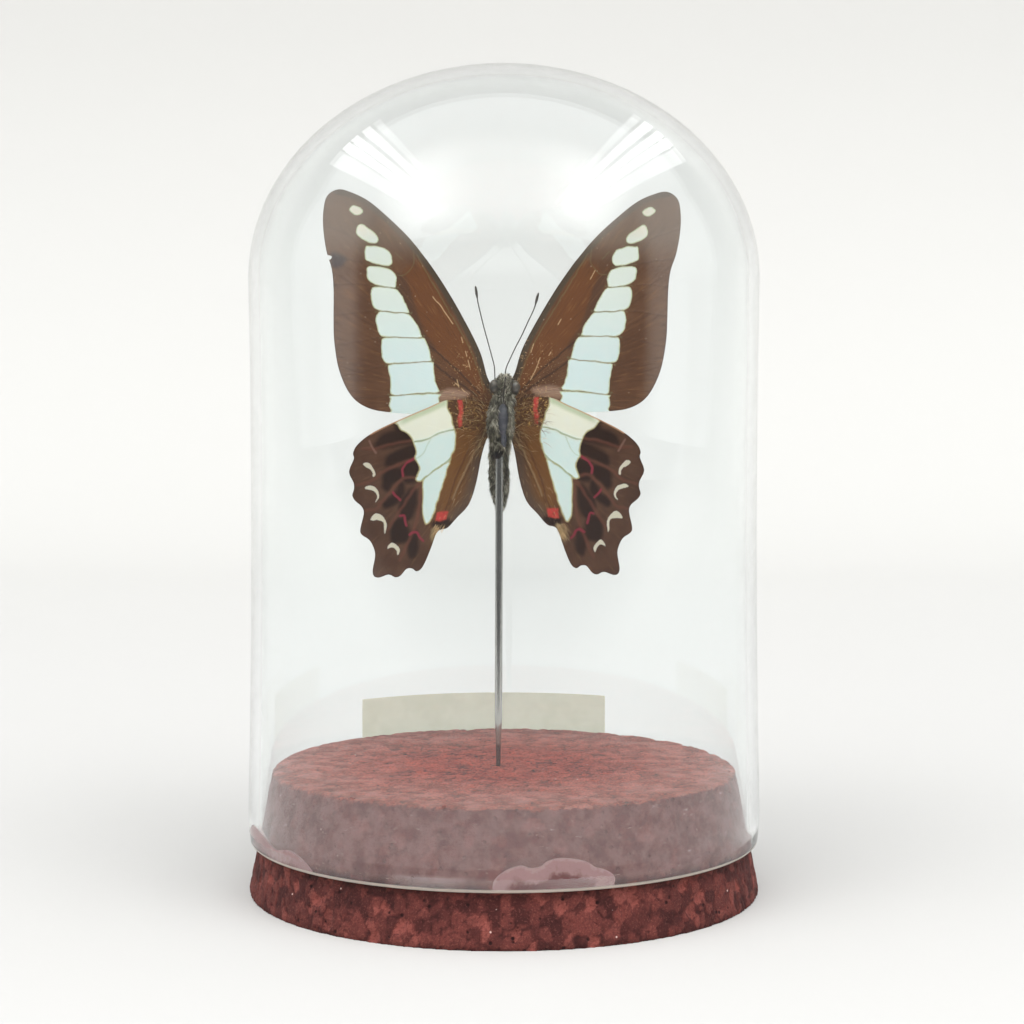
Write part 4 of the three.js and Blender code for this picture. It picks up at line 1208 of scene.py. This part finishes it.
lean = outward * np.where(on_abdomen, 0.55, 0.75)[:, None] + down + 0.85 * (draw.random(roots.shape) - 0.5)
length = np.where(on_abdomen, 0.6, np.where(on_head, 0.55, 0.75)) * (0.5 + 0.8 * draw.random(len(roots))) * MM
clump = np.array([noise.noise(Vector(p) / (0.7 * MM)) for p in roots])
tint = np.clip(0.42 + 0.75 * (draw.random(len(roots)) - 0.5) + 0.7 * clump + 0.5 * palps, 0, 1)
body_hair = grow("body_hair", roots, lean, length, (0.022 + 0.02 * draw.random(len(roots))) * MM, tint)
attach(body, "root")
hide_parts("butterfly_body")
print("hairs on the body:", len(roots))

# %% [markdown]
# ## Hair on the wings
# Long golden hair covers the foot of each hindwing and runs out along the first veins. Shorter
# hair fringes the inner margin. It is grown on the wing skins in the same way, but it lies
# nearly flat and points away from the hinge.

# %% Comb the wing hair
HINGE_OF_HAIR = INSECT @ (Vector((0.3, 0.6, -2.6)) * MM)


def wing_hair(name, skin, count, seed, reach, length, width, lift, palest, wanted):
    """Grow hair on the front of a wing, pointing away from the hinge, where wanted says so."""
    roots, outward, draw = spread(skin, count, seed)
    local = (roots - np.array(INSECT_PLACE)) / MM
    keep = draw.random(count) < wanted(local) * (outward[:, 1] < -0.5)
    roots, outward = roots[keep], outward[keep]
    away = roots - np.array(HINGE_OF_HAIR)
    away /= np.linalg.norm(away, axis=1, keepdims=True)
    lean = away + outward * lift + reach * (draw.random(roots.shape) - 0.5)
    sizes = length * (0.5 + 0.8 * draw.random(len(roots))) * MM
    return grow(name, roots, lean, sizes, (width * (0.7 + 0.6 * draw.random(len(roots)))) * MM,
                palest + (1 - palest) * draw.random(len(roots)))


gold_hair = Finish("golden wing hair", srgb(188, 150, 98), Roughness=0.45)
shade = gold_hair.attribute("tint")
gold_hair.first_coat(gold_hair.mix(gold_hair.step(shade, 0.0, 0.6), srgb(104, 70, 36), srgb(164, 118, 66)))
gold_hair.paint(gold_hair.step(shade, 0.74, 0.98), srgb(236, 204, 152))
gold_hair.color(gold_hair.tone)


def near_foot(local):
    """Thick near the thorax, thinning out by eight millimetres along the hindwing's top."""
    away = np.hypot(local[:, 0] - 0.3, (local[:, 2] + 2.2) * 1.15)
    return np.clip((9.6 - away) / 5, 0, 1) ** 1.4


def near_shoulder(local):
    """The same place on the forewing, with fewer hairs."""
    return near_foot(local) * 0.4


def along_inner_edge(local):
    """A strip beside the abdomen, down to where the margin turns out."""
    away = abs(local[:, 0] - 0.3)
    return ((away < 2.6 + 0.62 * (-4 - local[:, 2])) & (local[:, 2] < -5) & (local[:, 2] > -22)) * 0.16


def on_tuft(local):
    """The corner where the inner margin ends, which carries a brush of beige hair."""
    return ((abs(abs(local[:, 0] - 0.3) - 11.1) < 0.9) & (local[:, 2] < -21.0) & (local[:, 2] > -23.6)) * 0.7


for side, word in SIDES:
    hind, fore = wings["hindwing_" + word], wings["forewing_" + word]
    for name, skin, count, seed, reach, length, width, lift, palest, wanted in (
            ("foot_hair_" + word, hind, 14000, 21 + side, 1.5, 2.0, 0.028, 0.16, 0.0, near_foot),
            ("shoulder_hair_" + word, fore, 16000, 31 + side, 0.7, 1.6, 0.022, 0.12, 0.1, near_shoulder),
            ("margin_hair_" + word, hind, 12000, 41 + side, 0.5, 1.0, 0.022, 0.1, 0.0, along_inner_edge),
            ("tuft_hair_" + word, hind, 30000, 51 + side, 0.7, 1.5, 0.03, 0.2, 0.8, on_tuft)):
        hair = wing_hair(name, skin, count, seed, reach, length, width, lift, palest, wanted)
        gold_hair.on(hair)
        print(hair.name, len(hair.data.polygons) // len(HAIR_FACES), "hairs")

# %% Finishes of the body
hide = Finish("insect skin", srgb(86, 82, 72), Roughness=0.75, Specular_IOR_Level=0.3)
mottle = hide.noise(1100, 4, 0.65)
hide.color(hide.mix(hide.step(mottle, 0.35, 0.65), srgb(56, 54, 48), srgb(126, 121, 106)))
hide.bump(mottle, 0.15 * MM, 0.7)
hide.on(body)

coat = Finish("insect hair", srgb(132, 126, 110), Roughness=0.55, Specular_IOR_Level=0.35)
shade = coat.attribute("tint")
coat.first_coat(coat.mix(coat.step(shade, 0.1, 0.5), srgb(56, 53, 46), srgb(128, 121, 102)))
coat.paint(coat.step(shade, 0.55, 0.85), srgb(226, 219, 200))
coat.color(coat.tone)
coat.on(body_hair)

eye_gloss = Finish("eye", srgb(64, 58, 52), Roughness=0.28, Coat_Weight=0.4, Coat_Roughness=0.15)
dapple = eye_gloss.step(eye_gloss.noise(1300, 2, 0.5), 0.4, 0.65)
eye_gloss.color(eye_gloss.mix(dapple, srgb(62, 56, 50), srgb(92, 84, 70)))
eye_gloss.bump(eye_gloss.cells(9000), 0.01 * MM, 0.4)
eye_gloss.on(eyes)

slate = Finish("bare slate chitin", srgb(80, 80, 86), Roughness=0.5)
slate.color(slate.mix(slate.step(slate.noise(900, 3, 0.6), 0.35, 0.7), srgb(66, 66, 74), srgb(98, 98, 104)))
slate.bump(slate.noise(2600, 3, 0.6), 0.05 * MM, 0.5)
slate.on(plate)

tube_horn = Finish("dark horn", srgb(46, 40, 36), Roughness=0.4)
dapple = tube_horn.step(tube_horn.noise(2400, 2, 0.5), 0.4, 0.6)
tube_horn.color(tube_horn.mix(dapple, srgb(38, 33, 30), srgb(66, 56, 48)))
tube_horn.on(tongue)

# Damaged skin, painted near black as the shade of the pit at the needle.
bruise_and_pit_shade_finish = Finish("dried bruise", srgb(26, 23, 22), Roughness=0.85)
bruise_and_pit_shade_finish.color(bruise_and_pit_shade_finish.mix(bruise_and_pit_shade_finish.step(bruise_and_pit_shade_finish.noise(2000, 3, 0.6), 0.4, 0.7), srgb(20, 18, 18), srgb(46, 42, 38)))
bruise_and_pit_shade_finish.bump(bruise_and_pit_shade_finish.noise(2600, 4, 0.7), 0.2 * MM, 0.8)
bruise_and_pit_shade_finish.on(bruise_and_pit_shade)

# %% [markdown]
# ## The antennae
# Each antenna is one thin stalk that ends in a small club. A tube along a curve does both at
# once, because its radius can be given point by point: thin along the stalk, a little fatter
# every fourth of a millimetre for the joints, and swelling into the club.

# %% Draw the antennae
ANTENNAE = {"left": [(-0.5, 4.4), (-0.8, 5.0), (-0.98, 7.7), (-1.4, 9.4), (-2.15, 12), (-3.05, 15.1), (-3.65, 17.4),
                     (-4.15, 19.4), (-4.4, 20.8)],
            "right": [(0.9, 4.6), (0.98, 5.4), (1.15, 7.4), (1.8, 9.1), (2.9, 11.5), (4.05, 13.8), (5.1, 16.2),
                      (6.1, 18.4), (6.5, 19.8)]}
STALK_RADIUS = 0.13
CLUB_RADIUS = 0.3
CLUB_HALF = 1.25
CLUB_BEYOND = 0.7
JOINT = 0.25

horn = Finish("antenna horn", srgb(58, 54, 50), Roughness=0.5)
banding = horn.cells(4200)
horn.color(horn.mix(horn.step(banding, 0.1, 0.4), srgb(38, 36, 34), srgb(82, 76, 70)))
for word, route in ANTENNAE.items():
    line = soft_line([(x, 1.0, z) for x, z in route], steps=12)
    heading = (line[-1] - line[-6]) / np.linalg.norm(line[-1] - line[-6])
    line = np.vstack([line, [line[-1] + heading * step for step in np.arange(0.1, CLUB_BEYOND + CLUB_HALF, 0.1)]])
    run = np.concatenate([[0], np.cumsum(np.linalg.norm(np.diff(line, axis=0), axis=1))])
    even = np.arange(0, run[-1], JOINT / 2)
    line = np.stack([np.interp(even, run, line[:, k]) for k in range(3)], axis=1)
    along_club = np.clip((even - (run[-1] - CLUB_HALF)) / CLUB_HALF, -1, 1)
    knuckles = np.where(np.arange(len(even)) % 2, 1, 0.88)
    radii = np.maximum(STALK_RADIUS, CLUB_RADIUS * np.sqrt(1 - along_club ** 2)) * knuckles
    radii[-1] = 0.05
    antenna = add_tube("antenna_" + word + "_horn", line, radii, sides=1)
    antenna.data.transform(INSECT)
    smooth(antenna, 60)
    horn.on(antenna)
    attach(antenna, "root")
    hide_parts("antenna_" + word)
    print(antenna.name, len(antenna.data.polygons), "faces")

# %% [markdown]
# ## The paper label
# A strip of thin paper is stuck round the back of the glass, outside. It is bent from a flat
# grid: a point's distance along the strip becomes an angle round the dome. The paper is bare,
# a little cockled and slightly clouded with age. Light from behind comes through paper, so its
# finish scatters light inside the sheet.

# %% Bend the label
LABEL_BOTTOM, LABEL_TOP = 13.2 * MM, 29.0 * MM
LABEL_RADIUS = 46.62 * MM
LABEL_PAPER = 0.12 * MM
LABEL_FROM, LABEL_TO = math.radians(62.9), math.radians(129.3)

bpy.ops.object.select_all(action="DESELECT")
bpy.ops.mesh.primitive_grid_add(x_subdivisions=120, y_subdivisions=34, size=1, location=(0, 0, 0))
label = rename("label_paper")
sheet = positions(label)
angle = LABEL_FROM + (LABEL_TO - LABEL_FROM) * (0.5 - sheet[:, 0])
rise = LABEL_BOTTOM + (LABEL_TOP - LABEL_BOTTOM) * (sheet[:, 1] + 0.5)
lip_turn = np.clip((17.2 * MM - rise) / (5 * MM), 0, 1) * 0.2 * MM
cockle = np.array([abs(noise.noise(Vector((a * 9, r / 0.005, 2)))) for a, r in zip(angle, rise)]) * 0.09 * MM
radius = LABEL_RADIUS - lip_turn + cockle
move_to(label, np.stack([radius * np.cos(angle), radius * np.sin(angle), rise], axis=1))
apply_modifier(label, "SOLIDIFY", thickness=LABEL_PAPER, offset=-1)
face_outwards(label)
smooth(label, 60)
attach(label, "root")
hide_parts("label")

paper = Finish("aged label paper", srgb(200, 190, 158), Roughness=0.85, Subsurface_Weight=1.0,
               Subsurface_Scale=2.0 * MM, Subsurface_Radius=(1.0, 1.0, 0.9))
clouds = paper.noise(160, 4, 0.6)
pulp = paper.noise(2400, 3, 0.7, (1, 1, 0.5))
paper.first_coat(paper.mix(paper.step(clouds, 0.3, 0.7), srgb(203, 191, 154), srgb(189, 177, 140)))
paper.paint(paper.step(pulp, 0.55, 0.8, 0.0, 0.3), srgb(172, 160, 126))
paper.color(paper.tone)
paper.bump(pulp, 0.02 * MM, 0.4)
paper.on(label)
print("label from", round(min(v.co.z for v in label.data.vertices) / MM, 1), "mm up")

# %% [markdown]
# ## Dried glue
# Two dabs of clear glue hold the glass on the cork. Each was pressed flat in the narrow wedge
# between them, so from outside it shows as a patch that wets the glass: a painted highlight as a
# pale crest where it bulges above, and below it the cork seen darker and redder. A flat skin is
# cut to the dab's outline, as for the wings, given a thickness, and bent round the inside of the glass.

# %% Model the dabs
DABS = {"front": (10.8, [(-9.6, 9.4), (-4, 9.0), (2, 9.0), (8.6, 9.2), (9.8, 10.2), (9.4, 11.4), (8.0, 12.3),
                         (6.4, 12.8), (5.2, 13.6), (3.2, 14.2), (0.6, 14.5), (-1.4, 14.1), (-2.6, 13.3), (-4.2, 13.1),
                         (-5.6, 13.5), (-7.4, 13.1), (-8.8, 12.3), (-9.7, 11.5), (-10.1, 10.6)]),
        "left": (-62.5, [(-13.4, 9.4), (-6, 9.0), (5, 9.0), (13, 9.2), (12.4, 10.6), (7.8, 12.2), (2.6, 11.6),
                         (-2.8, 13), (-8.4, 13.6), (-12.6, 11.8)])}
DAB_RADIUS = 44.35 * MM
DAB_THICKNESS = 0.5 * MM

glue = Finish("dried glue", srgb(176, 140, 138), Roughness=0.35, Coat_Weight=0.3, Coat_Roughness=0.2)
frost = glue.noise(620, 4, 0.65)
crest = glue.math("ADD", glue.attribute("crest"), glue.math("MULTIPLY", glue.math("SUBTRACT", frost, 0.5), 3.2))
# Painted highlight: the dab is painted pale near its crest and whitest along it. Further down it takes the cork's
# darker red.
glue.first_coat(glue.mix(glue.step(crest, 1.7, 3.0), srgb(180, 136, 136), srgb(112, 38, 36)))
glue.paint(glue.step(glue.noise(1500, 4, 0.7), 0.55, 0.7, 0.0, 0.4), srgb(150, 98, 94))
glue.paint(glue.step(crest, 0.0, 0.5, 0.4, 0.0), srgb(206, 178, 178))
glue.color(glue.tone)
glue.bump(frost, 0.3 * MM, 0.6)
for word, (facing, outline) in DABS.items():
    ring = soft_line(outline, closed=True)
    dab = cut_skin("glue_" + word, ring)
    flat = flat_places(dab)
    store(dab, "crest", off_line(flat, soft_line(outline[3:]))[0])
    apply_modifier(dab, "SOLIDIFY", thickness=DAB_THICKNESS, offset=0)
    dab_places = positions(dab)
    turn = math.radians(facing) + dab_places[:, 0] / DAB_RADIUS
    waves = np.array([noise.noise(Vector((x / 0.0016, 3, z / 0.0011))) for x, _, z in dab_places]) * 0.08 * MM
    out = DAB_RADIUS - dab_places[:, 1] - np.abs(waves)
    move_to(dab, np.stack([out * np.sin(turn), -out * np.cos(turn), dab_places[:, 2]], axis=1))
    smooth(dab, 80)
    glue.on(dab)
    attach(dab, "root")
    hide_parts("glue_dab_" + word)
    print(dab.name, len(dab.data.polygons), "faces")

# %% [markdown]
# ## Lights
# The surround is pale at the sides, behind and above, and dark in front, where the viewer
# stands. Glass and steel show this at once: the glass has a clear middle with a faint veil down
# each side, and the needle has a dark core between two bright edges. Five rows of ceiling tubes
# at the left and five at the right are meant to be seen. They make the slanting bright strips
# on the shoulders of the dome. One wide cloth that glows, high above the front, brings out the
# colours. It fades to clear towards its edges and thins in the middle, so that the inner wall of
# the glass shows two soft glows on the shoulders and no sharp square, and the crown stays clear.
# It is hidden from direct reflections.

# %% Set the surround
WORLD_FRONT = 0.17
WORLD_ASIDE = 0.8
WORLD_ABOVE = 1.12
world = bpy.data.worlds.new("pale surround")
bpy.context.scene.world = world
world.use_nodes = True
world_nodes = world.node_tree.nodes
direction = world_nodes.new("ShaderNodeTexCoord")
split = world_nodes.new("ShaderNodeSeparateXYZ")
backdrop = world_nodes["Background"]
backdrop.inputs["Color"].default_value = (0.988, 0.998, 1.0, 1.0)
aside = world_nodes.new("ShaderNodeMapRange")
above = world_nodes.new("ShaderNodeMapRange")
brighter = world_nodes.new("ShaderNodeMath")
brighter.operation = "MAXIMUM"
for node, low, high, bright in ((aside, -0.48, -0.28, WORLD_ASIDE), (above, 0.3, 0.75, WORLD_ABOVE)):
    node.interpolation_type = "SMOOTHSTEP"
    for key, number in (("From Min", low), ("From Max", high), ("To Min", WORLD_FRONT), ("To Max", bright)):
        node.inputs[key].default_value = number
for source, target in ((direction.outputs["Generated"], split.inputs["Vector"]),
                       (split.outputs["Y"], aside.inputs["Value"]), (split.outputs["Z"], above.inputs["Value"]),
                       (aside.outputs["Result"], brighter.inputs[0]), (above.outputs["Result"], brighter.inputs[1]),
                       (brighter.outputs["Value"], backdrop.inputs["Strength"])):
    world.node_tree.links.new(source, target)


# %% Hang the cloth and the ceiling rows
CLOTH_WIDTH = 4.6
CLOTH_HEIGHT = 2.9
CLOTH_GLOW = 5.6
CLOTH_PLACE = Vector((0, -1.1, 1.5))
CLOTH_AIM = Vector((0, 0, 0.1))


def ceiling_row(place, size, radiance):
    """A rectangular light that faces down. Its power follows from how bright its face should look."""
    bpy.ops.object.select_all(action="DESELECT")
    bpy.ops.object.light_add(type="AREA", location=place)
    light = rename("ceiling row")
    light.data.shape = "RECTANGLE"
    light.data.size, light.data.size_y = size
    light.data.energy = radiance * math.pi * size[0] * size[1]
    light.rotation_euler = Vector((0, 0, -place[2])).to_track_quat("-Z", "Y").to_euler()


bpy.ops.object.select_all(action="DESELECT")
bpy.ops.mesh.primitive_plane_add(size=1, location=CLOTH_PLACE)
lamp_cloth = rename("lamp_cloth")
lamp_cloth.scale = (CLOTH_WIDTH, CLOTH_HEIGHT, 1)
lamp_cloth.rotation_euler = (CLOTH_AIM - CLOTH_PLACE).to_track_quat("-Z", "Y").to_euler()
apply_place(lamp_cloth)
glow = Finish("lamp cloth", srgb(40, 40, 40), Roughness=1.0, Emission_Color=(1.0, 0.99, 0.975, 1.0),
              Emission_Strength=CLOTH_GLOW)
across_cloth = glow.nodes.new("ShaderNodeSeparateXYZ")
glow.link(glow.nodes.new("ShaderNodeTexCoord").outputs["UV"], across_cloth.inputs["Vector"])
thin_middle = glow.math("MULTIPLY", glow.step(across_cloth.outputs["X"], 0.28, 0.46, 0.0, 0.55),
                        glow.step(across_cloth.outputs["X"], 0.54, 0.72, 1.0, 0.0))
fade = glow.math("SUBTRACT", 1.0, thin_middle)
for axis, low, high, start, end in (("X", 0.0, 0.28, 0.0, 1.0), ("X", 0.72, 1.0, 1.0, 0.0),
                                    ("Y", 0.0, 0.4, 0.0, 1.0), ("Y", 0.6, 1.0, 1.0, 0.0)):
    fade = glow.math("MULTIPLY", fade, glow.step(across_cloth.outputs[axis], low, high, start, end))
glow.link(fade, glow.shader.inputs["Alpha"])
glow.on(lamp_cloth)
lamp_cloth.visible_camera = False
lamp_cloth.visible_glossy = False

CEILING = 1.4
CEILING_LIFT = 0.13
TUBE_ROWS = [(0.56, 0.61, 0.7), (0.635, 0.7, 2.2), (0.735, 0.8, 2.6), (0.815, 0.9, 3.0), (0.92, 1.1, 1.1)]
for side, back_end, front_end in ((-1, 0.62, -1.0), (1, 1.15, -1.22)):
    for inner, outer, radiance in TUBE_ROWS:
        middle = (side * CEILING * (inner + outer) / 2, CEILING * (back_end + front_end) / 2, CEILING + CEILING_LIFT)
        ceiling_row(middle, (CEILING * (outer - inner), CEILING * (back_end - front_end)), radiance)
